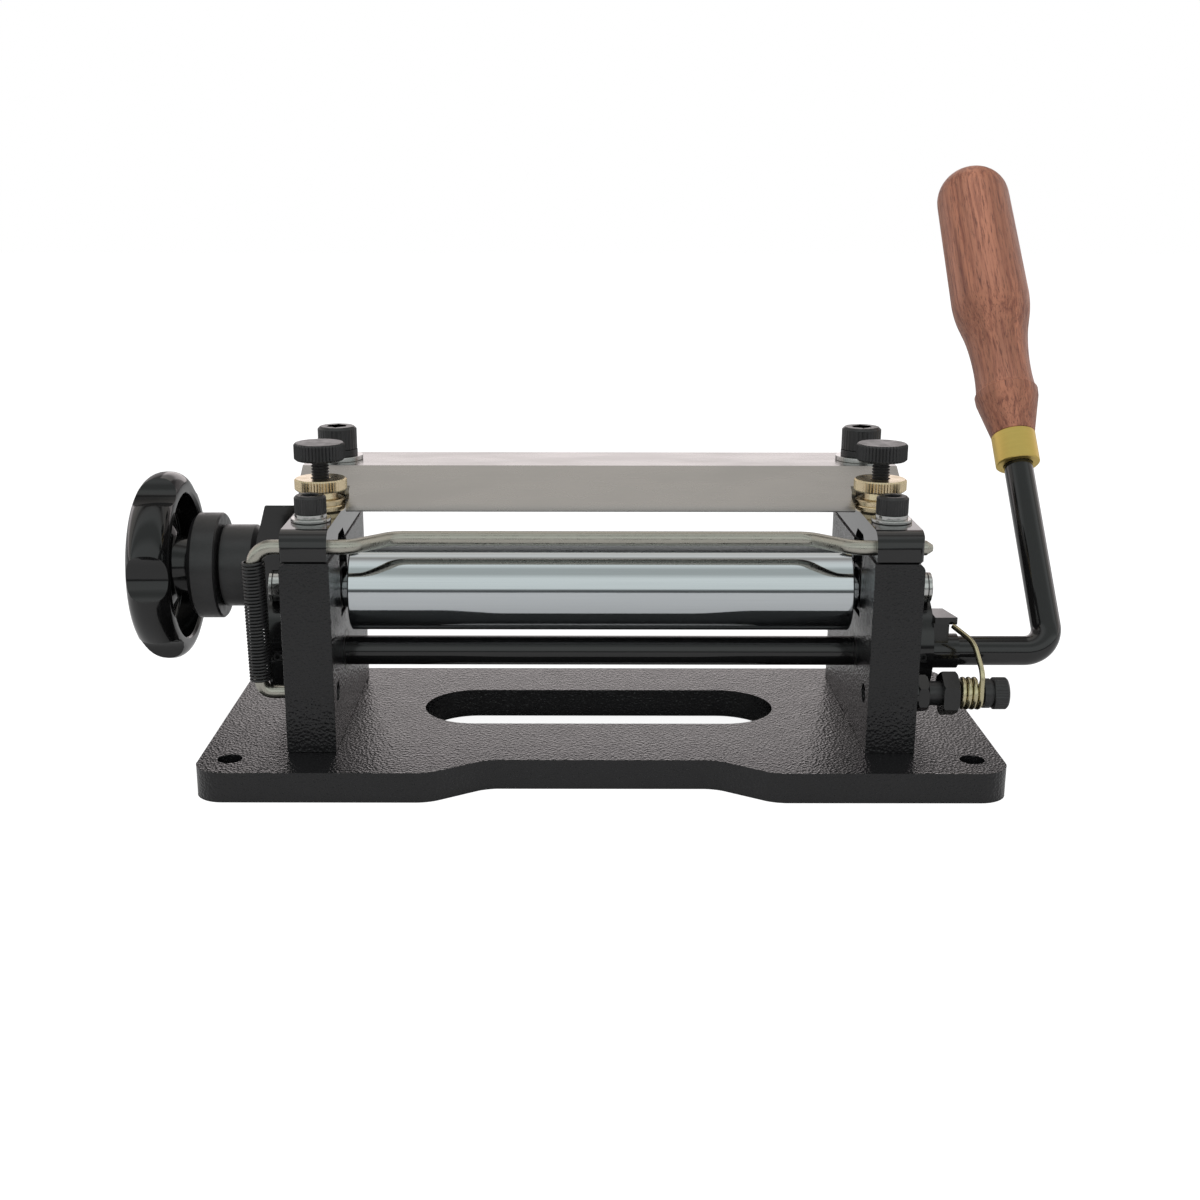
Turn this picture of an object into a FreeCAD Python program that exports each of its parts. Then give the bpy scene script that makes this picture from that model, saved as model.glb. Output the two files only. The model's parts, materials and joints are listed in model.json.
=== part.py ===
"""Leather splitting machine: a fixed blade over a roller that a hand lever lifts with two cams.

Millimetres. +X is to the right, +Y away from the user, +Z up. The origin is the centre of the four
bench-bolt holes on the underside of the base plate. Most side pieces are built for the right-hand
side and mirrored to the left.
"""
import FreeCAD, Part

import math
import os

V = FreeCAD.Vector

# ---------------------------------------------------------------- fits
running = 0.05            # radial clearance of a shaft or screw in its hole
slide_gap = 0.15          # clearance on each side of a sliding block
free_gap = 0.3            # gap between faces that pass each other

# ---------------------------------------------------------------- base plate
base_width = 260.0
base_depth = 110.0
base_thick = 10.0
base_corner = 9.5
bench_hole_radius = 4.0
bench_hole_inset_x = 10.0
bench_hole_inset_y = 12.5
slot_length = 123.0
slot_width = 36.5
slot_centre_y = 10.1
recess_depth = 11.8
recess_half_flat = 37.0
recess_slant = 18.0       # length along X of each slanted side of the recess
recess_blend = 12.0

bench_spacing_x = base_width - 2 * bench_hole_inset_x
bench_spacing_y = base_depth - 2 * bench_hole_inset_y

# ---------------------------------------------------------------- side plates and caps
roller_space = 172.7      # between the inner faces of the side plates
plate_thick = 16.0
plate_front = -37.0
plate_back = 46.0
plate_height = 63.5
plate_round = 2.5
front_hole_mouth = 3.25   # radius of the front cross hole on the plates' inner faces
front_hole_mouth_depth = 3.0
cap_height = 10.0
cap_inset = 0.5           # of the caps inside both faces of the side plates
cap_nose = 5.8            # radius of the front top edge, round the press bar's journal
cap_edge = 0.8
cap_foot_edge = 0.8       # chamfer round the caps' undersides
left_cap_corner = 1.0
right_cap_corner = 2.0
cap_recess_rise = 4.0
cap_recess_upright = 1.2  # height of the recess's upright sides
cap_recess_taper = 3.0

plate_in = roller_space / 2
plate_out = plate_in + plate_thick
plate_mid = (plate_in + plate_out) / 2
plate_top = base_thick + plate_height
cap_top = plate_top + cap_height

# ---------------------------------------------------------------- roller, axle and bearing blocks
axle_y = -6.3
axle_drop = 15.3          # of the axle under the tops of the side plates, with the lever back
axle_radius = 4.0
roller_radius = 14.5
roller_gap = 2.95         # roller end to side plate
roller_wall = 3.0
plug_depth = 12.0
plug_boss_radius = 7.0
block_width = 16.0
block_height = 14.0
block_inset = 0.5         # block faces inside the plate faces
slot_floor_gap = 1.2      # under the bearing block
lift_travel = 8.8
ring_radius = 5.2
ring_width = 4.9
spacer_step = 0.2         # the follower ring's spacer is this much smaller in radius
retainer_width = 1.3
axle_end = 0.4            # of the axle past the retaining ring

axle_z = plate_top - axle_drop

# ---------------------------------------------------------------- lever, cams and cross shaft
shaft_drop = 22.3         # of the cross shaft under the axle, with the lever back
shaft_radius = 5.0
shaft_left_spare = 1.6    # of the shaft past the left cam
bush_radius = 7.0
bush_flange_radius = 9.0
cam_stand_off = 2.65      # side plate to cam
cam_thick = 7.0
cam_front_rim = 8.9       # radius of the cams at their front
lever_travel = 60.0       # degrees
set_screw_radius = 1.5
set_screw_socket = 1.5
set_screw_sunk = 0.5      # under the cam's rim
hub_wall = 0.9
hub_length = 9.4
lug_rise = 13.8           # of the lug's top over the shaft's axis
lug_thick = 2.4
lug_front = 7.7           # of the lug's front edge before the shaft's axis
lug_back = 4.1
lug_front_width = 7.4
lug_back_width = 5.0
lug_web = 5.6
horn_radius = 34.0
horn_width = 6.0
horn_angle = 122.0        # degrees from upright towards the back, with the lever back
lever_reach = 51.25       # side plate to the corner where the upright's axis meets the shaft's
lever_bend = 8.5
lean_back = 36.0          # degrees
lean_in = 3.2             # degrees
ferrule_start = 70.3      # distances along the upright from the corner
ferrule_length = 11.7
ferrule_radius = 7.7
ferrule_wall = 1.2
grip_bead = 15.9          # distances along the upright from the ferrule's top
grip_waist = 30.0
grip_shoulder = 54.6
grip_near_top = 99.6
grip_length = 112.6
grip_end_flat = 1.0       # radius left flat by the lathe centre
bead_radius = 11.25
waist_radius = 9.95
shoulder_radius = 13.7
near_top_radius = 13.3
tang_length = 60.0        # of the rod inside the ferrule and grip

shaft_z = axle_z - shaft_drop
cam_inner = plate_out + cam_stand_off
cam_outer = cam_inner + cam_thick
corner_x = plate_out + lever_reach

# ---------------------------------------------------------------- blade and its screws
blade_overhang = 0.15     # of the blade past the side plates
blade_depth = 50.0
blade_ahead = 0.8         # blade edge behind the axle's axis
blade_thick = 12.0
bevel_depth = 22.0
blade_edge = 0.6
blade_edge_rise = 0.6
notch_depth = 11.5
notch_reach = 1.3         # of the notches inside the inner faces of the side plates
nut_gap = 0.45
clamp_inset = 15.0        # clamp screws from the blade's back edge
clamp_inward = 2.2        # clamp screws inside the middle of the side plates
clamp_radius = 4.0
clamp_hole_gap = 0.4
clamp_head_radius = 6.8
clamp_head_height = 8.0
clamp_washer_radius = 8.8
clamp_washer = 1.6
clamp_lock_radius = 6.9
clamp_lock = 2.1
clamp_socket = 6.0
clamp_grip = 23.3         # of the clamp screws in the side plates
cap_screw_inset = 18.0    # front cap screws from the plates' front faces
cap_screw_radius = 3.0
cap_screw_head_radius = 5.2
cap_screw_head_height = 6.0
cap_washer_radius = 6.5
cap_washer = 1.2
cap_lock_radius = 5.2
cap_lock = 1.4
cap_screw_socket = 5.0
cap_screw_grip = 15.4
washer_gap = 0.2
screw_hole_spare = 2.0    # depth of a tapped hole past its screw

blade_front = axle_y + blade_ahead
blade_back = blade_front + blade_depth
blade_half = plate_out + blade_overhang
blade_top = cap_top + blade_thick
clamp_x = plate_mid - clamp_inward
clamp_y = blade_back - clamp_inset
cap_screw_y = plate_front + cap_screw_inset

# ---------------------------------------------------------------- brass nuts and thumb screws
nut_behind_axle = 6.3
nut_inward = 0.55         # nuts inside the middle of the side plates
nut_low_radius = 8.0
nut_low_height = 4.0
nut_waist_radius = 5.2
nut_top_radius = 8.75
nut_top_height = 4.0
nut_height = 10.7
nut_edge = 0.5
stud_radius = 3.0
stud_stop_gap = 1.6       # lowest stud tip over the bearing block at the top of its travel
thumb_fall = 3.9          # travel of the thumb screws downwards
thumb_stand_off = 6.1     # head over the brass nut
thumb_height = 5.8
thumb_radius = 8.5
thumb_bore_depth = 3.6

nut_x = plate_mid - nut_inward
nut_y = axle_y + nut_behind_axle
stud_tip = axle_z + lift_travel + block_height / 2 + stud_stop_gap + thumb_fall
thumb_low = cap_top + nut_height + thumb_stand_off

# ---------------------------------------------------------------- press bar and tension spring
bar_radius = 2.4
journal_inset = 5.6       # journals behind the plates' front faces
journal_rise = 4.1        # journals over the side plates
bar_mid_back = 14.9       # middle of the bar behind its journals
bar_mid_drop = 0.4
bar_bend_start = 5.85     # inner face of a side plate to the corner of the bar's first bend
bar_bend_run = 12.5       # along X between the two bends
bar_bend = 8.0
bar_right_spare = 2.95    # of the bar past the right side plate
bar_tip_chamfer = 2.0
hook_reach = 9.1          # left side plate to the tension spring's top
bar_hook_bend = 6.5
bar_hook_length = 6.6     # from the journal's axis down to the wire's tip
anchor_radius = 2.25
anchor_reach = 9.0        # left side plate to the tension spring's foot
anchor_inset = 9.0        # anchor behind the plates' front faces
anchor_rise = 18.1        # anchor over the base
anchor_bend = 3.5
anchor_leg = 6.5
anchor_inside = 11.0      # length of the anchor wire in the side plate
tension_start = 5.6       # from the bar's corner to the spring's first turn
tension_wire = 1.3
tension_fit = 0.1         # spring on the ends of the two wires
tension_turns = 36

journal_y = plate_front + journal_inset
journal_z = plate_top + journal_rise
anchor_y = plate_front + anchor_inset
anchor_z = base_thick + anchor_rise

# ---------------------------------------------------------------- spring post (right)
post_inset = 8.5          # post behind the plates' front faces
post_rise = 18.0          # post over the base
post_radius = 3.0
post_inner_end = 1.0      # post's end inside the plate's inner face
post_sleeve_radius = 4.0
post_washer_radius = 5.6
post_washer = 1.2
post_inner_nut_flats = 11.0
post_inner_nut_height = 3.5
post_nut_gap = 4.45
post_outer_nut_flats = 13.0
post_outer_nut_height = 5.3
coil_gap = 0.4
coil_wire_radius = 0.9
coil_radius = 4.55
coil_turns = 3.2
coil_pitch = 1.9
coil_sides = 10           # arcs in one turn
collar_radius = 4.9
collar_width = 2.2
groove_radius = 4.2
groove_width = 1.0
post_head_radius = 5.3
post_head_width = 4.9
post_socket = 4.0
post_socket_depth = 2.6
leg_tip = 5.8             # leg's tip past the right cam
leg_tip_gap = 0.25        # leg's tip to the lug
leg_rise = 8.0            # first run of the leg, from the coil's front
leg_lean = 0.6
leg_reach = (4.9, -9.0, -3.0)   # last run of the leg, back from its tip
leg_bend = 7.0
leg_bend_top = 12.0

post_y = plate_front + post_inset
post_z = base_thick + post_rise

# ---------------------------------------------------------------- adjusting knob (left)
knob_behind_axle = 30.3
spindle_radius = 5.0
spindle_nose_radius = 2.6
spindle_nose_length = 7.6
spindle_tip_gap = 2.45    # spindle's tip to the side plate
spindle_in_knob = 6.0
sleeve_radius = 14.5
sleeve_start = 11.65      # side plate to the sleeve's inner end
sleeve_neck_radius = 13.0
sleeve_neck_length = 5.9
sleeve_length = 18.7
sleeve_chamfer = 1.5
sleeve_edge = 0.5
knob_collar_radius = 18.7
knob_collar_length = 9.9
knob_radius = 33.2
knob_rim_back = 3.0       # knob's collar to the rear of the rim
knob_rim_width = 15.4
knob_neck_radius = 9.0
knob_hollow_radius = 25.4
knob_hollow_draft = 0.4   # the hollow is this much narrower at its floor
knob_mouth = 0.8          # chamfer round the hollow's mouth
knob_ring_radius = 24.7
knob_disc_radius = 9.8
knob_button_radius = 7.0
knob_button_rise = 0.6
knob_dish_depth = 7.5
knob_wall = 4.0
knob_lobes = 6
knob_turn = 55.4          # degrees from +Y to a scallop
knob_scallop_radius = 10.5
knob_scallop_depth = 4.6
bracket_ahead = 19.0      # of the bracket before the knob's axis
bracket_behind = 21.0
bracket_under = 18.2      # of the bracket below the knob's axis
bracket_foot = 19.05      # side plate to the bracket's outer face, below the slope
bracket_slope_end = 1.2   # end of the slope below the knob's axis
bracket_corner = 0.8
bracket_top_rise = 0.2    # of the bracket's front top edge over the cap
bracket_top_fall = 9.6    # of its top towards the back
bracket_low_corner = 2.0
bracket_pocket_gap = 0.8  # between the cam's outer face and the pocket
bracket_pocket_rise = 25.1  # of the pocket's ceiling over the cross shaft
horn_clearance = 1.5
bracket_screw_back = 16.0 # bracket screws behind the knob's axis
bracket_screw_up = 8.0    # bracket screws over and under the knob's axis
bracket_screw_radius = 2.0
bracket_head_radius = 3.5
bracket_head_height = 4.0
bracket_head_start = 11.65  # side plate to the seat of the screws' heads
bracket_screw_grip = 9.0  # length of thread in the side plate
bracket_screw_socket = 3.0

knob_y = axle_y + knob_behind_axle
knob_z = axle_z
sleeve_inner_x = -plate_out - sleeve_start
sleeve_outer_x = sleeve_inner_x - sleeve_length
collar_inner_x = sleeve_outer_x - free_gap
collar_outer_x = collar_inner_x - knob_collar_length
spindle_tip_x = -plate_out - spindle_tip_gap
bracket_foot_x = -plate_out - bracket_foot
bracket_screw_y = knob_y + bracket_screw_back
bracket_screw_zs = (knob_z - bracket_screw_up, knob_z + bracket_screw_up)
bracket_head_x = -plate_out - bracket_head_start

# ---------------------------------------------------------------- screws under the base
base_screw_front = 17.0   # from the plates' front faces
base_screw_back = 16.0    # from the plates' back faces
base_screw_radius = 3.0
base_screw_head_radius = 6.0
base_screw_head_height = 3.3
base_screw_grip = 14.0    # of the screws in the side plates
base_screw_socket = 4.0
base_screw_socket_depth = 2.0

base_screw_ys = (plate_front + base_screw_front, plate_back - base_screw_back)


# ---------------------------------------------------------------- helpers
def box(x0, x1, y0, y1, z0, z1):
    """Block between the given limits."""
    return Part.makeBox(abs(x1 - x0), y1 - y0, z1 - z0, V(min(x0, x1), y0, z0))


def x_rod(x0, x1, y, z, radius):
    """Cylinder along X."""
    return Part.makeCylinder(radius, abs(x1 - x0), V(min(x0, x1), y, z), V(1, 0, 0))


def z_rod(x, y, z0, z1, radius):
    """Cylinder along Z."""
    return Part.makeCylinder(radius, z1 - z0, V(x, y, z0), V(0, 0, 1))


def mirrored(shape):
    """The same piece on the other side of the machine."""
    return shape.mirror(V(0, 0, 0), V(1, 0, 0))


def both(shape):
    """A right-hand piece and its mirror image."""
    return [shape, mirrored(shape)]


def in_xy(a, b):
    return V(a, b, 0)


def in_yz(a, b):
    return V(0, a, b)


def in_xz(a, b):
    return V(a, 0, b)


def rounded_face(corners, place):
    """Flat face through corners (a, b, radius), with an arc at each corner whose radius isn't 0."""
    edges = []
    starts = []
    count = len(corners)
    for i in range(count):
        a, b, radius = corners[i]
        here = place(a, b)
        before = place(*corners[i - 1][:2]) - here
        after = place(*corners[(i + 1) % count][:2]) - here
        before.normalize()
        after.normalize()
        if radius == 0:
            starts.append((here, here))
            continue
        half = before.getAngle(after) / 2
        reach = radius / math.tan(half)
        inward = (before + after).normalize()
        middle = here + inward * (radius / math.sin(half) - radius)
        start = here + before * reach
        end = here + after * reach
        starts.append((start, end))
        edges.append(Part.Arc(start, middle, end).toShape())
    for i in range(count):
        leaving = starts[i][1]
        arriving = starts[(i + 1) % count][0]
        if leaving.distanceToPoint(arriving) > 1e-6:
            edges.append(Part.LineSegment(leaving, arriving).toShape())
    return Part.Face(Part.Wire(Part.__sortEdges__(edges)))


def plate(corners, z0, z1):
    """Prism along Z over corners (x, y, radius)."""
    face = rounded_face(corners, in_xy)
    face.translate(V(0, 0, z0))
    return face.extrude(V(0, 0, z1 - z0))


def x_prism(corners, x0, x1):
    """Prism along X over corners (y, z, radius)."""
    face = rounded_face(corners, in_yz)
    face.translate(V(min(x0, x1), 0, 0))
    return face.extrude(V(abs(x1 - x0), 0, 0))


def rectangle(a0, a1, b0, b1, radius):
    """Corners of a rectangle whose corners all have one radius."""
    return [(a0, b0, radius), (a1, b0, radius), (a1, b1, radius), (a0, b1, radius)]


def turned(points, centre, axis):
    """Solid of revolution. points are (distance along the axis, radius) on a closed profile."""
    across = V(0, 0, 1) if abs(axis.z) < 0.9 else V(1, 0, 0)
    across = (across - axis * across.dot(axis)).normalize()
    corners = [centre + axis * along + across * radius for along, radius in points]
    profile = Part.Face(Part.makePolygon(corners + corners[:1]))
    return profile.revolve(centre, axis, 360)


def ring(centre, axis, inner, outer, width):
    """Washer or bush: a short tube that starts at centre and runs along axis."""
    return Part.makeCylinder(outer, width, centre, axis).cut(Part.makeCylinder(inner, width, centre, axis))


def chamfered_rod(centre, axis, radius, length, bottom, top):
    """Cylinder with a chamfer on each end; a chamfer of 0 leaves that end sharp."""
    points = [(0, 0), (0, radius - bottom)]
    if bottom:
        points.append((bottom, radius))
    points.append((length - top, radius))
    if top:
        points.append((length, radius - top))
    points.append((length, 0))
    return turned(points, centre, axis)


def hexagon(centre, axis, flats, length):
    """Hexagonal prism across the given flats, along axis."""
    side = V(0, 0, 1) if abs(axis.z) < 0.9 else V(1, 0, 0)
    other = axis.cross(side)
    reach = flats / math.sqrt(3)
    turns = [math.radians(60 * i) for i in range(7)]
    points = [centre + side * (reach * math.cos(t)) + other * (reach * math.sin(t)) for t in turns]
    return Part.Face(Part.makePolygon(points)).extrude(axis * length)


def socket_screw(seat, axis, head_radius, head_height, radius, length, socket):
    """Screw with a round head and a hexagonal socket; axis points out of the head."""
    head = chamfered_rod(seat, axis, head_radius, head_height, 0, head_radius * 0.09)
    recess = hexagon(seat + axis * (head_height * 0.45), axis, socket, head_height)
    shank = chamfered_rod(seat - axis * length, axis, radius, length, radius * 0.2, 0)
    return head.cut(recess).fuse(shank).removeSplitter()


def split_ring(centre, axis, inner, outer, width):
    """Lock washer with a narrow slanted gap."""
    gap = Part.makeBox(outer, 0.9, width * 2, V(0, -0.45, -width / 2))
    gap.rotate(V(0, 0, 0), V(1, 0, 0), 25)
    gap.translate(centre)
    return ring(centre, axis, inner, outer, width).cut(gap)


def route(points, radii):
    """Wire of straight runs joined by tangent arcs; radii are those of the inner points."""
    edges = []
    start = points[0]
    for i, radius in enumerate(radii, 1):
        here = points[i]
        back = (points[i - 1] - here).normalize()
        ahead = (points[i + 1] - here).normalize()
        half = back.getAngle(ahead) / 2
        reach = radius / math.tan(half)
        enter = here + back * reach
        leave = here + ahead * reach
        middle = here + (back + ahead).normalize() * (radius / math.sin(half) - radius)
        edges.append(Part.LineSegment(start, enter).toShape())
        edges.append(Part.Arc(enter, middle, leave).toShape())
        start = leave
    edges.append(Part.LineSegment(start, points[-1]).toShape())
    return Part.Wire(edges)


def bent_rod(points, radii, radius):
    """Round rod along a route."""
    path = route(points, radii)
    heading = (points[1] - points[0]).normalize()
    section = Part.Wire(Part.makeCircle(radius, points[0], heading))
    return path.makePipeShell([section], True, True)


def save(name, *pieces):
    """Write one node; several separate pieces go in as a group."""
    whole = pieces[0] if len(pieces) == 1 else Part.makeCompound(list(pieces))
    whole.exportStep(os.path.join("parts", name + ".step"))


# ---------------------------------------------------------------- base plate
def make_base():
    half_x = base_width / 2
    half_y = base_depth / 2
    recess_y = recess_depth - half_y
    recess_half_mouth = recess_half_flat + recess_slant
    base = plate([
        (-half_x, -half_y, base_corner),
        (-recess_half_mouth, -half_y, recess_blend),
        (-recess_half_flat, recess_y, recess_blend),
        (recess_half_flat, recess_y, recess_blend),
        (recess_half_mouth, -half_y, recess_blend),
        (half_x, -half_y, base_corner),
        (half_x, half_y, base_corner),
        (-half_x, half_y, base_corner),
    ], 0, base_thick)
    slot_end = slot_width / 2 - 0.01
    slot = plate(rectangle(-slot_length / 2, slot_length / 2, slot_centre_y - slot_width / 2,
                           slot_centre_y + slot_width / 2, slot_end), 0, base_thick)
    base = base.cut(slot)
    for x in (-bench_spacing_x / 2, bench_spacing_x / 2):
        for y in (-bench_spacing_y / 2, bench_spacing_y / 2):
            base = base.cut(z_rod(x, y, 0, base_thick, bench_hole_radius))
    for x in (-plate_mid, plate_mid):
        for y in base_screw_ys:
            base = base.cut(z_rod(x, y, 0, base_thick, base_screw_radius + running))
            base = base.cut(screw_cone(x, y, running))
    return base


def screw_cone(x, y, extra):
    """Countersunk head of a base screw, or its seat when extra is the clearance."""
    wide = base_screw_head_radius + extra
    narrow = base_screw_radius + extra
    return Part.makeCone(wide, narrow, base_screw_head_height, V(x, y, 0), V(0, 0, 1))


def base_screw(x, y):
    shank = chamfered_rod(V(x, y, 0), V(0, 0, 1), base_screw_radius, base_thick + base_screw_grip, 0, 0.6)
    socket = hexagon(V(x, y, 0), V(0, 0, 1), base_screw_socket, base_screw_socket_depth)
    return screw_cone(x, y, 0).fuse(shank).cut(socket)


# ---------------------------------------------------------------- side plates and caps
def make_side_plate(hole_radius, hole_y, hole_z):
    """Right-hand side plate; the cross hole at its front takes the spring post or the anchor wire."""
    body = box(plate_in, plate_out, plate_front, plate_back, base_thick, plate_top)
    body = round_edges(body, plate_round, plate_out, plate_top)
    slot_half = block_width / 2 + slide_gap
    slot_floor = axle_z - block_height / 2 - slot_floor_gap
    body = body.cut(box(plate_in, plate_out, axle_y - slot_half, axle_y + slot_half, slot_floor, plate_top))
    body = body.cut(x_rod(plate_in, plate_out, axle_y, shaft_z, bush_radius + running))
    body = body.cut(x_rod(plate_in, plate_out, hole_y, hole_z, hole_radius))
    body = body.cut(x_rod(plate_in, plate_in + front_hole_mouth_depth, hole_y, hole_z, front_hole_mouth))
    clamp_end = plate_top - clamp_grip - screw_hole_spare
    cap_screw_end = plate_top - cap_screw_grip - screw_hole_spare
    base_screw_end = base_thick + base_screw_grip + screw_hole_spare
    body = body.cut(z_rod(clamp_x, clamp_y, clamp_end, plate_top, clamp_radius + running))
    body = body.cut(z_rod(plate_mid, cap_screw_y, cap_screw_end, plate_top, cap_screw_radius + running))
    for y in base_screw_ys:
        body = body.cut(z_rod(plate_mid, y, base_thick, base_screw_end, base_screw_radius + running))
    return body


def round_edges(body, radius, x, z):
    """Fillet the long edge along Y at the given x and z."""
    chosen = []
    for edge in body.Edges:
        ends = [vertex.Point for vertex in edge.Vertexes]
        if all(abs(p.x - x) < 0.01 and abs(p.z - z) < 0.01 for p in ends):
            chosen.append(edge)
    return body.makeFillet(radius, chosen)


def make_cap(corner):
    """Right-hand cap block. Its underside has a tapered recess over the bearing block's slot."""
    inner = plate_in + cap_inset
    outer = plate_out - cap_inset
    body = x_prism([
        (plate_front + cap_foot_edge, plate_top, 0),
        (plate_back - cap_foot_edge, plate_top, 0),
        (plate_back, plate_top + cap_foot_edge, 0),
        (plate_back, cap_top, cap_edge),
        (plate_front, cap_top, cap_nose),
        (plate_front, plate_top + cap_foot_edge, 0),
    ], inner, outer)
    plan = [(inner, plate_front, 0), (outer, plate_front, corner), (outer, plate_back, corner),
            (inner, plate_back, 0)]
    body = body.common(plate(plan, plate_top, cap_top))
    front = rounded_face([
        (inner + cap_foot_edge, plate_top, 0),
        (outer - cap_foot_edge, plate_top, 0),
        (outer, plate_top + cap_foot_edge, 0),
        (outer, cap_top, cap_edge),
        (inner, cap_top, cap_edge),
        (inner, plate_top + cap_foot_edge, 0),
    ], in_xz)
    front.translate(V(0, plate_front, 0))
    body = body.common(front.extrude(V(0, plate_back - plate_front, 0)))
    wide = block_width / 2 + slide_gap
    narrow = wide - cap_recess_taper
    recess = x_prism([
        (axle_y - wide, plate_top - 1, 0),
        (axle_y + wide, plate_top - 1, 0),
        (axle_y + wide, plate_top + cap_recess_upright, 0),
        (axle_y + narrow, plate_top + cap_recess_rise, 1),
        (axle_y - narrow, plate_top + cap_recess_rise, 1),
        (axle_y - wide, plate_top + cap_recess_upright, 0),
    ], plate_in, plate_out)
    body = body.cut(recess)
    body = body.cut(x_rod(plate_in, plate_out, journal_y, journal_z, bar_radius + running))
    body = body.cut(z_rod(clamp_x, clamp_y, plate_top, cap_top, clamp_radius + running))
    body = body.cut(z_rod(plate_mid, cap_screw_y, plate_top, cap_top, cap_screw_radius + running))
    return body.cut(z_rod(nut_x, nut_y, plate_top, cap_top, stud_radius + running))


# ---------------------------------------------------------------- blade
def make_blade():
    edge_low = cap_top + blade_edge_rise
    blade = x_prism([
        (blade_front + blade_edge_rise * 2, cap_top, 0),
        (blade_back, cap_top, 0.5),
        (blade_back, blade_top, 0.5),
        (blade_front + bevel_depth, blade_top, 0),
        (blade_front, edge_low + blade_edge, 0),
        (blade_front, edge_low, 0),
    ], -blade_half, blade_half)
    low = cap_top - 1
    high = blade_top + 1
    notch = box(plate_in - notch_reach, blade_half + 1, blade_front - 1, blade_front + notch_depth, low, high)
    notch = notch.fuse(z_rod(nut_x, nut_y, low, high, nut_top_radius + nut_gap))
    hole = z_rod(clamp_x, clamp_y, low, high, clamp_radius + clamp_hole_gap)
    for cutter in both(notch) + both(hole):
        blade = blade.cut(cutter)
    return blade


def make_top_screws():
    """Clamp screws through the blade and screws through the caps, with their washers."""
    up = V(0, 0, 1)
    level = blade_top
    washer = ring(V(clamp_x, clamp_y, level), up, clamp_radius + washer_gap, clamp_washer_radius, clamp_washer)
    level += clamp_washer
    lock = split_ring(V(clamp_x, clamp_y, level), up, clamp_radius + washer_gap, clamp_lock_radius, clamp_lock)
    level += clamp_lock
    length = level - plate_top + clamp_grip
    screw = socket_screw(V(clamp_x, clamp_y, level), up, clamp_head_radius, clamp_head_height,
                         clamp_radius, length, clamp_socket)
    save("blade_flat_washers", *both(washer))
    save("blade_lock_washers", *both(lock))
    save("blade_clamp_screws", *both(screw))
    level = cap_top
    inner = cap_screw_radius + washer_gap
    washer = ring(V(plate_mid, cap_screw_y, level), up, inner, cap_washer_radius, cap_washer)
    level += cap_washer
    lock = split_ring(V(plate_mid, cap_screw_y, level), up, inner, cap_lock_radius, cap_lock)
    level += cap_lock
    length = level - plate_top + cap_screw_grip
    screw = socket_screw(V(plate_mid, cap_screw_y, level), up, cap_screw_head_radius,
                         cap_screw_head_height, cap_screw_radius, length, cap_screw_socket)
    save("cap_flat_washers", *both(washer))
    save("cap_lock_washers", *both(lock))
    save("cap_screws", *both(screw))


# ---------------------------------------------------------------- brass nuts and thumb screws
def make_brass_nut():
    """Spool-shaped nut that turns on the stud and stands on the cap."""
    top = nut_height
    low = nut_low_height
    bore = stud_radius + running
    shoulder = nut_top_height
    return turned([
        (0, bore),
        (0, nut_low_radius - nut_edge),
        (nut_edge, nut_low_radius),
        (low - nut_edge, nut_low_radius),
        (low, nut_low_radius - nut_edge),
        (low, nut_waist_radius),
        (top - shoulder, nut_waist_radius),
        (top - shoulder, nut_top_radius - nut_edge),
        (top - shoulder + nut_edge, nut_top_radius),
        (top - nut_edge, nut_top_radius),
        (top, nut_top_radius - nut_edge),
        (top, bore),
    ], V(nut_x, nut_y, cap_top), V(0, 0, 1))


def make_stud():
    top = thumb_low + thumb_bore_depth - free_gap
    return chamfered_rod(V(nut_x, nut_y, stud_tip), V(0, 0, 1), stud_radius, top - stud_tip, 0.6, 0)


def make_thumb_head():
    head = chamfered_rod(V(nut_x, nut_y, thumb_low), V(0, 0, 1), thumb_radius, thumb_height, 0.6, 0.6)
    return head.cut(z_rod(nut_x, nut_y, thumb_low, thumb_low + thumb_bore_depth, stud_radius + running))


# ---------------------------------------------------------------- roller and axle
def make_roller():
    half = plate_in - roller_gap
    tube = x_rod(-half, half, axle_y, axle_z, roller_radius)
    return tube.cut(x_rod(-half, half, axle_y, axle_z, roller_radius - roller_wall))


def make_end_plug():
    """Plug in the roller's end, with a small boss that runs against the bearing block."""
    end = plate_in - roller_gap
    body = x_rod(end - plug_depth, end, axle_y, axle_z, roller_radius - roller_wall - running)
    body = body.fuse(x_rod(end, plate_in + block_inset - free_gap, axle_y, axle_z, plug_boss_radius))
    return body.cut(x_rod(end - plug_depth, plate_out, axle_y, axle_z, axle_radius + running))


def make_bearing_block():
    half = block_width / 2
    body = x_prism(rectangle(axle_y - half, axle_y + half, axle_z - block_height / 2,
                             axle_z + block_height / 2, 1), plate_in + block_inset, plate_out - block_inset)
    return body.cut(x_rod(plate_in, plate_out, axle_y, axle_z, axle_radius + running))


def make_follower_ring():
    """Ring on the axle that the cam lifts, with a narrower spacer towards the bearing block."""
    body = x_rod(cam_inner, cam_inner + ring_width, axle_y, axle_z, ring_radius)
    body = body.fuse(x_rod(plate_out - block_inset, cam_inner, axle_y, axle_z, ring_radius - spacer_step))
    return body.cut(x_rod(plate_in, cam_inner + ring_width, axle_y, axle_z, axle_radius + running))


def make_retaining_ring():
    start = cam_inner + ring_width
    return ring(V(start, axle_y, axle_z), V(1, 0, 0), axle_radius + running, ring_radius, retainer_width)


def make_axle():
    half = cam_inner + ring_width + retainer_width + axle_end
    return chamfered_rod(V(-half, axle_y, axle_z), V(1, 0, 0), axle_radius, 2 * half, 0.5, 0.5)


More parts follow.
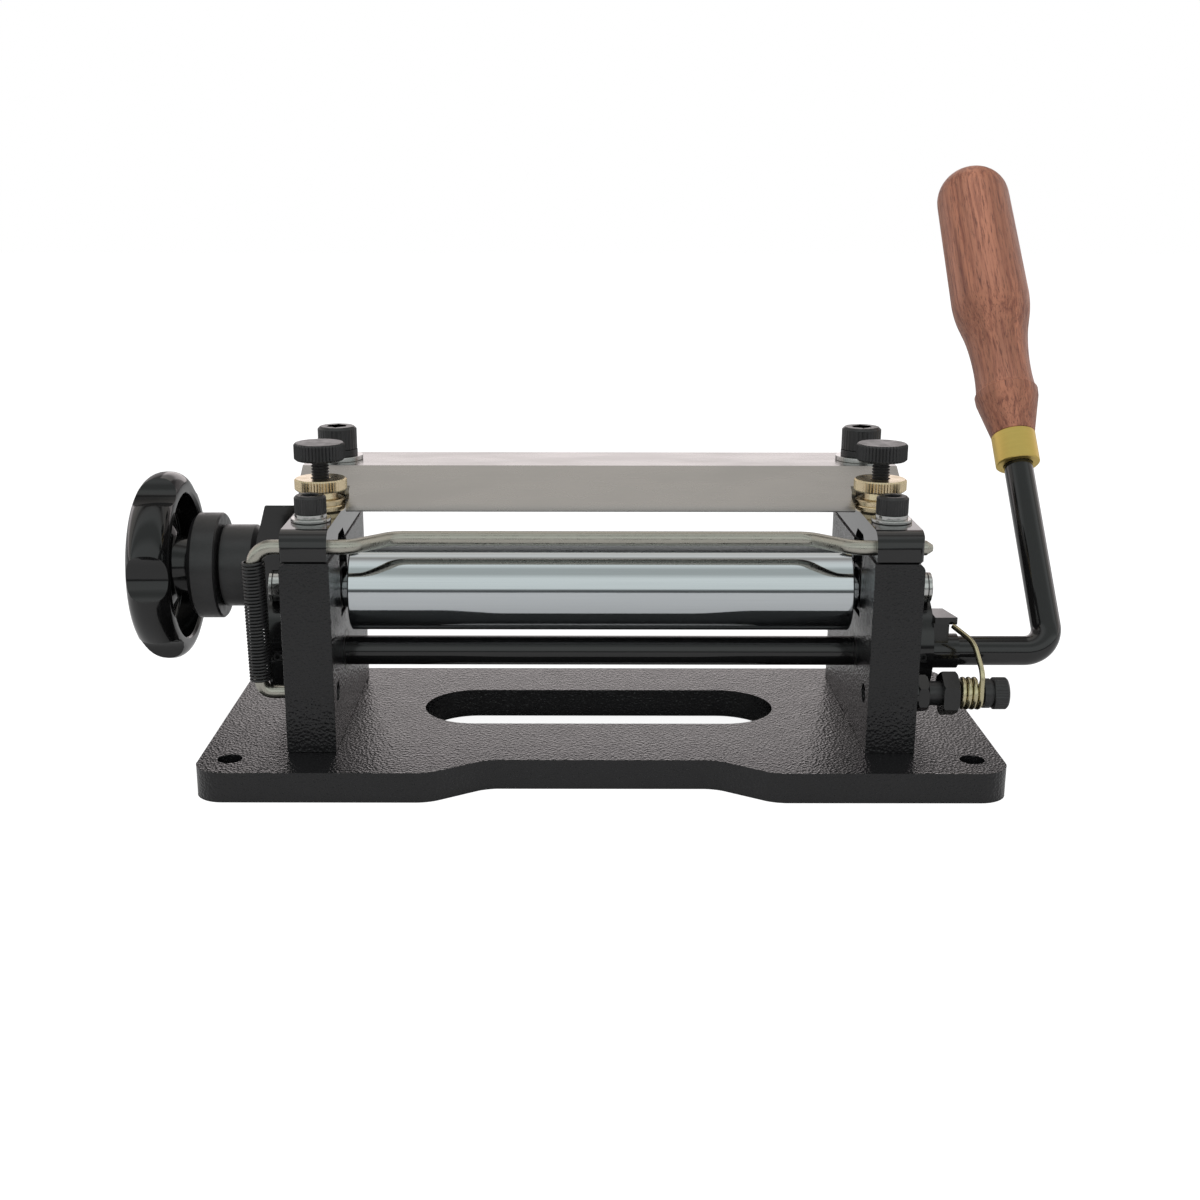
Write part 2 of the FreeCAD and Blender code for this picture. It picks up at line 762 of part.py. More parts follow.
# ---------------------------------------------------------------- cams and lever
def cam_point(turn):
    """Point on the cam that lies under the follower ring after the lever has turned so far."""
    part = turn / lever_travel
    slope = lift_travel / math.radians(lever_travel)
    reach = axle_z - shaft_z + lift_travel * part
    inset = ring_radius + free_gap
    angle = math.radians(turn)
    outward = V(0, math.sin(angle), math.cos(angle))
    onward = V(0, math.cos(angle), -math.sin(angle))
    normal = (outward * reach - onward * slope).normalize()
    return V(cam_inner, axle_y, shaft_z) + outward * reach - normal * inset


def make_cam():
    """Right-hand cam: an even rise over the lever's travel, closed by one arc round the shaft."""
    steps = 12
    rise = [cam_point(lever_travel * i / steps) for i in range(-1, steps + 2)]
    curve = Part.BSplineCurve()
    curve.interpolate(rise)
    front = V(cam_inner, axle_y - cam_front_rim, shaft_z)
    closing = Part.Arc(rise[-1], front, rise[0])
    face = Part.Face(Part.Wire([curve.toShape(), closing.toShape()]))
    cam = face.extrude(V(cam_thick, 0, 0))
    cam = cam.cut(x_rod(cam_inner, cam_inner + cam_thick, axle_y, shaft_z, shaft_radius + running))
    hole = Part.makeCylinder(set_screw_radius + running, cam_front_rim * 2, set_screw_base(), V(0, -1, 0))
    return cam.cut(hole)


def set_screw_base():
    """Inner end of the set screw's hole, on the shaft's surface."""
    return V(cam_inner + cam_thick / 2, axle_y - shaft_radius, shaft_z)


def make_set_screw():
    start = set_screw_base() + V(0, -running, 0)
    length = cam_front_rim - shaft_radius - set_screw_sunk
    screw = Part.makeCylinder(set_screw_radius, length, start, V(0, -1, 0))
    socket = hexagon(start + V(0, -length / 2, 0), V(0, -1, 0), set_screw_socket, length)
    return screw.cut(socket)


def make_left_cam():
    """Left-hand cam: the mirrored cam with a horn that the knob's spindle stops."""
    angle = math.radians(horn_angle)
    outward = V(0, math.sin(angle), math.cos(angle))
    across = V(0, math.cos(angle), -math.sin(angle)) * (horn_width / 2)
    shaft = V(cam_inner, axle_y, shaft_z)
    near = shaft + outward * (shaft_radius + 4)
    far = shaft + outward * (horn_radius - horn_width / 2)
    tip = shaft + outward * horn_radius
    edges = [
        Part.LineSegment(near - across, far - across).toShape(),
        Part.Arc(far - across, tip, far + across).toShape(),
        Part.LineSegment(far + across, near + across).toShape(),
        Part.LineSegment(near + across, near - across).toShape(),
    ]
    horn = Part.Face(Part.Wire(edges)).extrude(V(cam_thick, 0, 0))
    return mirrored(make_cam().fuse(horn).removeSplitter())


def make_shaft_bush():
    """Bush in the side plate with a flange that keeps the cam off the plate."""
    body = x_rod(plate_in, plate_out, axle_y, shaft_z, bush_radius)
    body = body.fuse(x_rod(plate_out, cam_inner - free_gap, axle_y, shaft_z, bush_flange_radius))
    return body.cut(x_rod(plate_in, cam_inner, axle_y, shaft_z, shaft_radius + running))


def make_hub():
    """Sleeve on the shaft beside the right cam, with the lug that the torsion spring lifts."""
    radius = shaft_radius + hub_wall
    sleeve = x_rod(cam_outer, cam_outer + hub_length, axle_y, shaft_z, radius)
    top = shaft_z + lug_rise
    low = top - lug_thick
    tab = plate([
        (cam_outer, axle_y - lug_front, 0),
        (cam_outer + lug_front_width, axle_y - lug_front, 0),
        (cam_outer + lug_back_width, axle_y + lug_back, 0),
        (cam_outer, axle_y + lug_back, 0),
    ], low, top)
    web = x_prism([
        (axle_y - radius * 0.7, shaft_z, 0),
        (axle_y + radius * 0.7, shaft_z, 0),
        (axle_y, low + 0.1, 0),
        (axle_y - lug_front * 0.6, low + 0.1, 0),
    ], cam_outer, cam_outer + lug_web)
    body = sleeve.fuse(web).fuse(tab).removeSplitter()
    return body.cut(x_rod(cam_outer, cam_outer + hub_length, axle_y, shaft_z, shaft_radius + running))


def upright_direction():
    back = math.radians(lean_back)
    inward = math.radians(lean_in)
    return V(-math.sin(inward), math.cos(inward) * math.sin(back), math.cos(inward) * math.cos(back))


def lever_corner():
    return V(corner_x, axle_y, shaft_z)


def make_lever_rod():
    """One bent bar: the cross shaft, the bend and the upright with its tang in the grip."""
    end = lever_corner() + upright_direction() * (ferrule_start + tang_length)
    start = V(-cam_outer - shaft_left_spare, axle_y, shaft_z)
    return bent_rod([start, lever_corner(), end], [lever_bend], shaft_radius)


def make_ferrule():
    bore = shaft_radius + running
    inside = ferrule_radius - ferrule_wall
    return turned([
        (0, bore),
        (0, ferrule_radius - 0.4),
        (0.4, ferrule_radius),
        (ferrule_length, ferrule_radius),
        (ferrule_length, inside),
        (ferrule_wall, inside),
        (ferrule_wall, bore),
    ], lever_corner() + upright_direction() * ferrule_start, upright_direction())


def make_grip():
    """Turned wooden grip; its spigot fills the ferrule and a bore takes the rod."""
    centre = lever_corner()
    axis = upright_direction()
    inner = ferrule_radius - ferrule_wall - running
    collar = ferrule_start + ferrule_length
    across = V(1, 0, 0)
    across = (across - axis * across.dot(axis)).normalize()

    def at(along, radius):
        return centre + axis * along + across * radius

    side = Part.BSplineCurve()
    side.interpolate([
        at(collar, ferrule_radius),
        at(collar + grip_bead, bead_radius),
        at(collar + grip_waist, waist_radius),
        at(collar + grip_shoulder, shoulder_radius),
        at(collar + (grip_shoulder + grip_near_top) / 2, (shoulder_radius + near_top_radius) / 2 + 0.3),
        at(collar + grip_near_top, near_top_radius),
    ])
    dome_start = collar + grip_near_top
    top = collar + grip_length
    halfway = math.radians(45)
    dome = Part.Arc(at(dome_start, near_top_radius),
                    at(dome_start + (top - dome_start) * math.sin(halfway), near_top_radius * math.cos(halfway)),
                    at(top, grip_end_flat))
    bottom = ferrule_start + ferrule_wall
    corners = [at(top, grip_end_flat), at(top, 0), at(bottom, 0), at(bottom, inner),
               at(collar, inner), at(collar, ferrule_radius)]
    edges = [side.toShape(), dome.toShape()]
    for start, end in zip(corners, corners[1:]):
        edges.append(Part.LineSegment(start, end).toShape())
    grip = Part.Face(Part.Wire(edges)).revolve(centre, axis, 360)
    depth = tang_length - ferrule_wall + 1
    return grip.cut(Part.makeCylinder(shaft_radius + running, depth, centre + axis * bottom, axis))


# ---------------------------------------------------------------- press bar and tension spring
def spring_line():
    """Top and bottom of the tension spring's axis and the direction from top to bottom."""
    top = V(-plate_out - hook_reach, journal_y, journal_z)
    bottom = V(-plate_out - anchor_reach, anchor_y, anchor_z)
    return top, bottom, (bottom - top).normalize()


def make_press_bar():
    """Bent wire bar: it turns in the caps, and its middle lies behind the line of its journals."""
    top, bottom, down = spring_line()
    outer = plate_in - bar_bend_start
    inner = outer - bar_bend_run
    middle_y = journal_y + bar_mid_back
    middle_z = journal_z - bar_mid_drop
    end = V(plate_out + bar_right_spare - bar_tip_chamfer, journal_y, journal_z)
    points = [
        top + down * bar_hook_length,
        top,
        V(-outer, journal_y, journal_z),
        V(-inner, middle_y, middle_z),
        V(inner, middle_y, middle_z),
        V(outer, journal_y, journal_z),
        end,
    ]
    bar = bent_rod(points, [bar_hook_bend, bar_bend, bar_bend, bar_bend, bar_bend], bar_radius)
    cone = Part.makeCone(bar_radius, bar_radius - bar_tip_chamfer * 0.8, bar_tip_chamfer, end, V(1, 0, 0))
    return bar.fuse(cone)


def make_tension_spring():
    """Close-wound spring as one tube whose outside has a round ridge for each turn."""
    top, bottom, down = spring_line()
    across = V(1, 0, 0)
    across = (across - down * across.dot(down)).normalize()
    inside = bar_radius + tension_fit
    groove = inside + tension_wire * 0.55
    start = tension_start
    end = (bottom - top).Length - anchor_bend
    pitch = (end - start) / tension_turns

    def at(along, radius):
        return top + down * along + across * radius

    edges = []
    for i in range(tension_turns):
        first = start + pitch * i
        crest = at(first + pitch / 2, inside + tension_wire)
        edges.append(Part.Arc(at(first, groove), crest, at(first + pitch, groove)).toShape())
    edges.append(Part.LineSegment(at(end, groove), at(end, inside)).toShape())
    edges.append(Part.LineSegment(at(end, inside), at(start, inside)).toShape())
    edges.append(Part.LineSegment(at(start, inside), at(start, groove)).toShape())
    return Part.Face(Part.Wire(edges)).revolve(top, down, 360)


def make_spring_anchor():
    """Bent wire from the left side plate up into the bottom of the tension spring."""
    top, bottom, down = spring_line()
    return bent_rod([V(anchor_inside - plate_out, anchor_y, anchor_z), bottom, bottom - down * anchor_leg],
                    [anchor_bend], anchor_radius)


# ---------------------------------------------------------------- spring post
def make_spring_post():
    """Screw through the right side plate with two nuts, the torsion spring and a knurled head."""
    along = V(1, 0, 0)
    x = plate_out

    def at(distance):
        return V(distance, post_y, post_z)

    save("spring_post_washer", ring(at(x), along, post_sleeve_radius + running, post_washer_radius, post_washer))
    x += post_washer
    bore = post_sleeve_radius + running
    inner_nut = chamfered_nut(at(x), along, post_inner_nut_flats, post_inner_nut_height, bore)
    x += post_inner_nut_height + post_nut_gap
    outer_nut = chamfered_nut(at(x), along, post_outer_nut_flats, post_outer_nut_height, bore)
    x += post_outer_nut_height
    save("spring_post_nuts", inner_nut, outer_nut)
    coil_start = x + coil_gap
    coil_end = coil_start + coil_turns * coil_pitch + 2 * coil_wire_radius
    collar_start = coil_end + free_gap
    save("torsion_spring", make_torsion_spring(coil_start + coil_wire_radius))
    collar = ring(at(collar_start), along, post_radius + running, collar_radius, collar_width)
    save("spring_post_collar", collar)
    sleeve = ring(at(plate_out), along, post_radius + running, post_sleeve_radius, x - plate_out)
    save("spring_post_sleeve", sleeve)
    head_start = collar_start + collar_width
    neck_start = plate_in + post_inner_end
    neck = chamfered_rod(at(neck_start), along, post_radius, head_start - neck_start, 0.6, 0)
    groove = Part.makeCylinder(groove_radius, groove_width, at(head_start), along)
    head_start += groove_width
    head = chamfered_rod(at(head_start), along, post_head_radius, post_head_width, 0.4, 0.5)
    socket_floor = head_start + post_head_width - post_socket_depth
    socket = hexagon(at(socket_floor), along, post_socket, post_head_width)
    save("spring_post_screw", neck.fuse(groove).fuse(head).cut(socket).removeSplitter())


def chamfered_nut(start, along, flats, height, bore):
    """Hexagon nut with turned corners on its outer face."""
    corner = flats / math.sqrt(3)
    body = hexagon(start, along, flats, height)
    body = body.common(chamfered_rod(start, along, corner, height, 0.5, 0.7))
    return body.cut(Part.makeCylinder(bore, height, start, along))


def make_torsion_spring(start):
    """Coil round the post; its outer end rises from the front to the front edge of the lug."""
    step = 360 / coil_sides
    count = round(coil_turns * coil_sides)
    corner_radius = coil_radius / math.cos(math.radians(step / 2))
    points = []
    for i in range(count):
        angle = math.radians(180 + step * (count - 0.5 - i))
        across = corner_radius * math.cos(angle)
        points.append(V(start + coil_pitch * i / coil_sides, post_y + across,
                        post_z + corner_radius * math.sin(angle)))
    radii = [coil_radius * 0.98] * (count - 1)
    tip_y = axle_y - lug_front - coil_wire_radius - leg_tip_gap
    tip_z = shaft_z + lug_rise - lug_thick - leg_tip_gap
    tip = V(cam_outer + leg_tip, tip_y, tip_z)
    points.append(points[-1] + V(0, leg_lean, leg_rise))
    points.append(tip + V(*leg_reach))
    points.append(tip)
    radii += [leg_bend, leg_bend_top]
    return bent_rod(points, radii, coil_wire_radius)


# ---------------------------------------------------------------- adjusting knob
def make_spindle():
    """Threaded rod with a tapered nose, from the knob through the sleeve and the bracket."""
    length = spindle_tip_x - collar_outer_x + spindle_in_knob
    return turned([
        (0, 0),
        (0, spindle_nose_radius),
        (spindle_nose_length, spindle_radius),
        (length, spindle_radius),
        (length, 0),
    ], V(spindle_tip_x, knob_y, knob_z), V(-1, 0, 0))


def make_sleeve():
    """Fixed sleeve between the bracket and the knob's collar; its neck sits in the bracket."""
    bore = spindle_radius + running
    return turned([
        (0, bore),
        (0, sleeve_neck_radius),
        (sleeve_neck_length, sleeve_neck_radius),
        (sleeve_neck_length + sleeve_chamfer, sleeve_radius),
        (sleeve_length - sleeve_edge, sleeve_radius),
        (sleeve_length, sleeve_radius - sleeve_edge),
        (sleeve_length, bore),
    ], V(sleeve_inner_x, knob_y, knob_z), V(-1, 0, 0))


def make_knob_collar():
    body = chamfered_rod(V(collar_inner_x, knob_y, knob_z), V(-1, 0, 0), knob_collar_radius,
                         knob_collar_length, 0.6, 1.5)
    return body.cut(x_rod(collar_inner_x, collar_outer_x, knob_y, knob_z, spindle_radius + running))


def make_knob():
    """Six-lobed knob with a hollow back and a dished outer face."""
    rear = knob_rim_back
    rim = rear + knob_rim_width
    dish_floor = rim - knob_dish_depth
    body = turned([
        (0, 0),
        (0, knob_neck_radius),
        (dish_floor - knob_wall, knob_neck_radius + 2),
        (rim - knob_wall - 1, knob_hollow_radius - knob_hollow_draft),
        (rear + knob_mouth, knob_hollow_radius),
        (rear, knob_hollow_radius + knob_mouth),
        (rear, knob_radius - 5.5),
        (rear + 1.6, knob_radius - 1.6),
        (rear + 5.5, knob_radius),
        (rim - 7, knob_radius),
        (rim - 2.6, knob_radius - 2),
        (rim - 0.5, knob_radius - 5),
        (rim, knob_ring_radius),
        (dish_floor, knob_disc_radius),
        (dish_floor, knob_button_radius),
        (dish_floor + knob_button_rise, knob_button_radius - knob_button_rise),
        (dish_floor + knob_button_rise, 0),
    ], V(collar_outer_x, knob_y, knob_z), V(-1, 0, 0))
    reach = knob_radius + knob_scallop_radius - knob_scallop_depth
    for i in range(knob_lobes):
        turn = math.radians(360 / knob_lobes * i + knob_turn)
        y = knob_y + reach * math.cos(turn)
        z = knob_z + reach * math.sin(turn)
        body = body.cut(x_rod(collar_outer_x, collar_outer_x - rim - 1, y, z, knob_scallop_radius))
    bore_end = collar_outer_x - spindle_in_knob - free_gap
    return body.cut(x_rod(collar_outer_x, bore_end, knob_y, knob_z, spindle_radius + running))


def make_bracket():
    """Block on the left side plate that carries the knob; it is hollow over the left cam."""
    front = knob_y - bracket_ahead
    back = knob_y + bracket_behind
    low = knob_z - bracket_under
    top = cap_top + bracket_top_rise
    face = rounded_face([
        (-plate_out, low, 0),
        (-plate_out, top, 0),
        (sleeve_inner_x, top, bracket_corner),
        (bracket_foot_x, knob_z - bracket_slope_end, 0),
        (bracket_foot_x, low, bracket_low_corner),
    ], in_xz)
    face.translate(V(0, front, 0))
    body = face.extrude(V(0, back - front, 0))
    pocket_end = -cam_outer - bracket_pocket_gap
    shoulder_x = sleeve_inner_x - sleeve_neck_length
    far = bracket_foot_x - 1
    body = body.cut(x_prism([(front, top, 0), (back, top, 0), (back, top - bracket_top_fall, 0)], -plate_out, far))
    pocket = x_rod(-plate_out, pocket_end, axle_y, shaft_z, horn_radius + horn_clearance)
    body = body.cut(pocket.common(box(-plate_out, pocket_end, front, back, low, shaft_z + bracket_pocket_rise)))
    body = body.cut(x_rod(-plate_out, far, knob_y, knob_z, spindle_radius + running))
    body = body.cut(x_rod(sleeve_inner_x, far, knob_y, knob_z, sleeve_neck_radius + running))
    body = body.cut(x_rod(shoulder_x, far, knob_y, knob_z, sleeve_radius + running))
    for z in bracket_screw_zs:
        body = body.cut(x_rod(-plate_out, far, bracket_screw_y, z, bracket_screw_radius + running))
        body = body.cut(x_rod(bracket_head_x, far, bracket_screw_y, z, bracket_head_radius + washer_gap))
    return body


def bracket_screw(z):
    length = bracket_screw_grip - plate_out - bracket_head_x
    return socket_screw(V(bracket_head_x, bracket_screw_y, z), V(-1, 0, 0), bracket_head_radius,
                        bracket_head_height, bracket_screw_radius, length, bracket_screw_socket)


# ---------------------------------------------------------------- the whole machine
def save_frame():
    save("base_plate", make_base())
    left = mirrored(make_side_plate(anchor_radius + running, anchor_y, anchor_z))
    for z in bracket_screw_zs:
        inner_end = -plate_out + bracket_screw_grip + screw_hole_spare
        left = left.cut(x_rod(inner_end, -plate_out, bracket_screw_y, z, bracket_screw_radius + running))
    save("side_plate_left", left)
    save("side_plate_right", make_side_plate(post_radius + running, post_y, post_z))
    save("cap_block_left", mirrored(make_cap(left_cap_corner)))
    save("cap_block_right", make_cap(right_cap_corner))
    save("base_screws", *[base_screw(x, y) for x in (-plate_mid, plate_mid) for y in base_screw_ys])
    save("blade", make_blade())
    make_top_screws()
    save("shaft_bushes", *both(make_shaft_bush()))


def save_screws():
    for name, piece in (("brass_nut", make_brass_nut()), ("thumb_stud", make_stud()),
                        ("thumb_head", make_thumb_head())):
        save(name + "_right", piece)
        save(name + "_left", mirrored(piece))


def save_roller():
    save("roller_tube", make_roller())
    save("roller_end_plugs", *both(make_end_plug()))
    save("roller_axle", make_axle())
    save("bearing_blocks", *both(make_bearing_block()))
    save("follower_rings", *both(make_follower_ring()))
    save("retaining_rings", *both(make_retaining_ring()))


def save_lever():
    save("lever_rod", make_lever_rod())
    save("cam_right", make_cam())
    save("cam_left", make_left_cam())
    save("cam_set_screws", *both(make_set_screw()))
    save("lever_hub", make_hub())
    save("ferrule", make_ferrule())
    save("grip", make_grip())


def save_press_bar():
    save("press_bar", make_press_bar())
    save("tension_spring", make_tension_spring())
    save("spring_anchor", make_spring_anchor())


def save_knob():
    save("knob_bracket", make_bracket())
    save("bracket_screws", *[bracket_screw(z) for z in bracket_screw_zs])
    save("knob_sleeve", make_sleeve())
    save("knob_spindle", make_spindle())
    save("knob_collar", make_knob_collar())
    save("knob", make_knob())


def main():
    os.makedirs("parts", exist_ok=True)
    save_frame()
    save_screws()
    save_roller()
    save_lever()
    save_press_bar()
    make_spring_post()
    save_knob()


if __name__ == "__main__":
    main()
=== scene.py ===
"""Leather splitting machine: the looks of a bench splitter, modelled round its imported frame.

The axes are the frame's: +X to the lever's side, +Y away from the user, +Z up. Pieces are drawn in
millimetres and brought to metres when they are finished. Most side pieces are drawn for the right-hand
side and mirrored to the left.
"""
import json
import math

import bmesh
import bpy
from bpy.props import FloatProperty, FloatVectorProperty, IntProperty, PointerProperty
from mathutils import Matrix, Vector


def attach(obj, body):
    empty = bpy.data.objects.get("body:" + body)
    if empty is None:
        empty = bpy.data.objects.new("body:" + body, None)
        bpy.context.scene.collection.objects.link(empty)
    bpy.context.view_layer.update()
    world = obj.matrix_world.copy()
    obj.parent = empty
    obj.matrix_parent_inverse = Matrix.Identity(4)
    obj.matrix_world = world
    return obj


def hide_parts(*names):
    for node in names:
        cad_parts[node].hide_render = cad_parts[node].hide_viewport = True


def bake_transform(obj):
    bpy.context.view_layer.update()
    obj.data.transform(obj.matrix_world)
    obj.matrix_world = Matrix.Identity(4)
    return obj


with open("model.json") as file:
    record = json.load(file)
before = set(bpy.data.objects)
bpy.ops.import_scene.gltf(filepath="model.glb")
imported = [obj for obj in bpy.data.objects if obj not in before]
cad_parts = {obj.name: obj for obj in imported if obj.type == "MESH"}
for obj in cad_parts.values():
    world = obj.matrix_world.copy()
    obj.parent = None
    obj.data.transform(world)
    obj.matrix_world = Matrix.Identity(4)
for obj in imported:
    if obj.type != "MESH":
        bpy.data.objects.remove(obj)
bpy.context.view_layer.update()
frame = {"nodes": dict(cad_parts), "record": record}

bl_info = {
    "name": "Leather Splitter",
    "version": (1, 0, 0),
    "blender": (4, 5, 0),
    "location": "3D View > Sidebar > Splitter",
    "description": "Models the visible pieces of a bench leather splitter",
    "category": "Object",
}

MM = 0.001
WELD = 0.001                        # distance in millimetres under which two vertices are one
CAD_WELD = 0.002                    # the same for meshes that come from the frame or from a cut
NEARLY_FLAT = math.radians(0.5)
RIGHT = Vector((1, 0, 0))
BACK = Vector((0, 1, 0))
UP = Vector((0, 0, 1))
FULL_TURN = 2 * math.pi

# ---------------- the machine's own places, in millimetres
BASE = (130.0, 55.0, 10.0)          # half width, half depth, thickness
PLATE_IN, PLATE_OUT, PLATE_MID = 86.35, 102.35, 94.35
PLATE_FRONT, PLATE_BACK = -37.0, 46.0
CAP_IN, CAP_OUT = 86.85, 101.85
PLATE_TOP, CAP_TOP, BLADE_TOP = 73.5, 83.5, 95.5
AXLE_Y, AXLE_Z, SHAFT_Z = -6.3, 58.2, 35.9
SLOT_HALF, SLOT_FLOOR = 8.15, 50.0
BLADE_FRONT, BLADE_BACK, BLADE_HALF = -5.5, 44.5, 102.5
CLAMP_X, CLAMP_Y = 92.15, 29.5
NUT_X, NUT_Y = 93.8, 0.0
CAP_SCREW_Y = -19.0
JOURNAL = (-31.4, 77.6)             # Y and Z of the press bar's ends
ANCHOR = (-28.0, 28.1)
POST = (-28.5, 28.0)
KNOB_AXIS = (24.0, 58.2)
LEVER_CORNER = Vector((153.6, AXLE_Y, SHAFT_Z))
LEAN_BACK, LEAN_IN = math.radians(36.0), math.radians(3.2)


# ---------------- settings
def length(name, default, description):
    """Length property; the default is in millimetres."""
    return FloatProperty(name=name, description=description, default=default * MM, min=0.0, unit="LENGTH")


def colour(name, default, description):
    return FloatVectorProperty(name=name, description=description, default=default, min=0.0, max=1.0,
                               subtype="COLOR", size=3)


class SplitterSizes(bpy.types.PropertyGroup):
    base_edge: length("Base edge", 0.9, "Rounding of the base plate's edges")
    plate_edge: length("Plate edge", 0.5, "Rounding of the side plates' edges")
    cap_edge: length("Cap edge", 0.8, "Rounding of the cap blocks' upper edges")
    paint_cell: length("Paint cell", 0.95, "Size of the hammered paint's dimples")
    paint_depth: length("Paint depth", 0.24, "Depth of the hammered paint's dimples")
    micro_bevel: length("Micro bevel", 2.1, "Depth of the second bevel along the blade's edge")
    screw_teeth: IntProperty(name="Screw teeth", description="Fine teeth round each socket screw's head",
                             default=36, min=12, max=96)
    thumb_teeth: IntProperty(name="Thumb teeth", description="Grooves round each thumb screw's head",
                             default=42, min=12, max=96)
    nut_teeth: IntProperty(name="Nut teeth", description="Teeth round each brass nut's upper flange",
                           default=54, min=12, max=96)
    spring_turns: IntProperty(name="Spring turns", description="Turns of the press bar's tension spring",
                              default=36, min=8, max=60)
    spring_wire: length("Spring wire", 0.47, "Radius of the tension spring's wire")
    grip_bead: length("Grip bead", 11.25, "Radius of the grip's bead")
    grip_shoulder: length("Grip shoulder", 13.7, "Largest radius of the grip")
    knob_radius: length("Knob radius", 33.2, "Outer radius of the adjusting knob")
    knob_scallops: IntProperty(name="Knob scallops", description="Finger hollows round the knob's rim",
                               default=6, min=3, max=12)


class SplitterColours(bpy.types.PropertyGroup):
    paint: colour("Hammered paint", (0.006, 0.006, 0.0065), "Base and side plates")
    gloss: colour("Gloss paint", (0.005, 0.005, 0.0052), "Caps, bracket, lever and cams")
    oxide: colour("Black oxide", (0.013, 0.013, 0.0135), "Screws, sleeve and collar")
    blade: colour("Blade steel", (0.43, 0.42, 0.41), "Ground faces of the blade")
    zinc: colour("Zinc", (0.52, 0.52, 0.51), "Washers and axle")
    nickel: colour("Nickel", (0.47, 0.455, 0.40), "Press bar and anchor wire")
    spring: colour("Yellow zinc", (0.62, 0.56, 0.36), "Torsion spring")
    brass: colour("Brass", (0.76, 0.63, 0.42), "Knurled nuts")
    ferrule: colour("Ferrule brass", (0.66, 0.49, 0.145), "Ferrule of the grip")
    chrome: colour("Chrome", (0.57, 0.60, 0.62), "Roller")
    wood: colour("Wood", (0.41, 0.162, 0.092), "Light grain of the grip")
    wood_dark: colour("Dark grain", (0.10, 0.030, 0.018), "Pores and dark streaks of the grip")
    plastic: colour("Phenolic", (0.005, 0.005, 0.0052), "Adjusting knob")


def sizes():
    return bpy.context.scene.splitter_sizes


def colours():
    return bpy.context.scene.splitter_colours


def mm(metres):
    return metres / MM


# ---------------- finishes
def feed(node, inputs):
    """Links each input that is given an output, and sets the others."""
    for name, value in inputs.items():
        if isinstance(value, bpy.types.NodeSocket):
            node.id_data.links.new(value, node.inputs[name])
        else:
            node.inputs[name].default_value = value


def new_node(tree, kind, inputs=None, **options):
    node = tree.nodes.new(kind)
    for name, value in options.items():
        setattr(node, name, value)
    feed(node, inputs or {})
    return node


def reckoned(tree, operation, *terms):
    """Output of a Math node over numbers and outputs."""
    return new_node(tree, "ShaderNodeMath", dict(enumerate(terms)), operation=operation).outputs[0]


class Finish:
    """Material with one Principled shader and the pattern nodes that feed it."""

    def __init__(self, name, base, roughness, metallic=0.0, coat=0.0, coat_roughness=0.05):
        self.base = tuple(base)
        self.material = bpy.data.materials.new(name)
        self.material.use_nodes = True
        self.tree = self.material.node_tree
        self.shader = self.tree.nodes["Principled BSDF"]
        feed(self.shader, {"Base Color": (*base, 1.0), "Roughness": roughness, "Metallic": metallic,
                           "Coat Weight": coat, "Coat Roughness": coat_roughness})
        self.place = self.add("ShaderNodeTexCoord").outputs["Object"]

    def add(self, kind, inputs=None, **options):
        return new_node(self.tree, kind, inputs, **options)

    def turned(self, origin, axis):
        """Object coordinates with origin at zero and axis along Z, in metres."""
        turn = axis.rotation_difference(UP)
        self.place = self.add("ShaderNodeMapping", {
            "Vector": self.place, "Location": -(turn @ (origin * MM)), "Rotation": turn.to_euler(),
        }).outputs["Vector"]

    def stretched(self, stretch):
        """Coordinates divided by a pattern's size along each axis, in millimetres."""
        return self.add("ShaderNodeVectorMath", {0: self.place, 1: [1 / (s * MM) for s in stretch]},
                        operation="MULTIPLY").outputs["Vector"]

    def noise(self, size, detail=3.0, roughness=0.55, distortion=0.0):
        """Noise whose features are about size (x, y, z) millimetres."""
        return self.add("ShaderNodeTexNoise", {
            "Vector": self.stretched(size), "Scale": 1.0, "Detail": detail, "Roughness": roughness,
            "Distortion": distortion,
        }).outputs["Fac"]

    def cells(self, size, smoothness):
        return self.add("ShaderNodeTexVoronoi", {
            "Vector": self.stretched((size,) * 3), "Scale": 1.0, "Smoothness": smoothness,
        }, feature="SMOOTH_F1").outputs["Distance"]

    def between(self, value, low, high, start=0.0, end=1.0):
        """Value mapped from start…end to low…high."""
        return self.add("ShaderNodeMapRange", {
            "Value": value, "From Min": start, "From Max": end, "To Min": low, "To Max": high,
        }).outputs["Result"]

    def mix(self, factor, first, second):
        """Colour between two colours; either may be a colour or an output."""
        inputs = {"Factor": factor}
        for index, value in ((6, first), (7, second)):
            inputs[index] = value if isinstance(value, bpy.types.NodeSocket) else (*value, 1.0)
        return self.add("ShaderNodeMix", inputs, data_type="RGBA").outputs[2]

    def paint(self, output):
        feed(self.shader, {"Base Color": output})

    def roughen(self, value, low, high):
        feed(self.shader, {"Roughness": self.between(value, low, high, 0.3, 0.7)})

    def bump(self, height, depth):
        """Relief of height 0…1 over depth millimetres."""
        node = self.add("ShaderNodeBump", {"Height": height, "Strength": 1.0, "Distance": depth * MM})
        feed(self.shader, {"Normal": node.outputs["Normal"]})

    def grained(self, relief, depth, cloud, rough, tones, by_cloud=False):
        """Relief from one noise, roughness from another, and a tone that follows one of the two."""
        fine, broad = self.noise(*relief), self.noise(*cloud)
        self.bump(fine, depth)
        self.roughen(broad, *rough)
        self.paint(self.mix(broad if by_cloud else fine, *(shade(self.base, share) for share in tones)))
        return self.material


def shade(base, share):
    """A colour made darker or lighter by a share."""
    return tuple(min(1.0, part * share) for part in base)


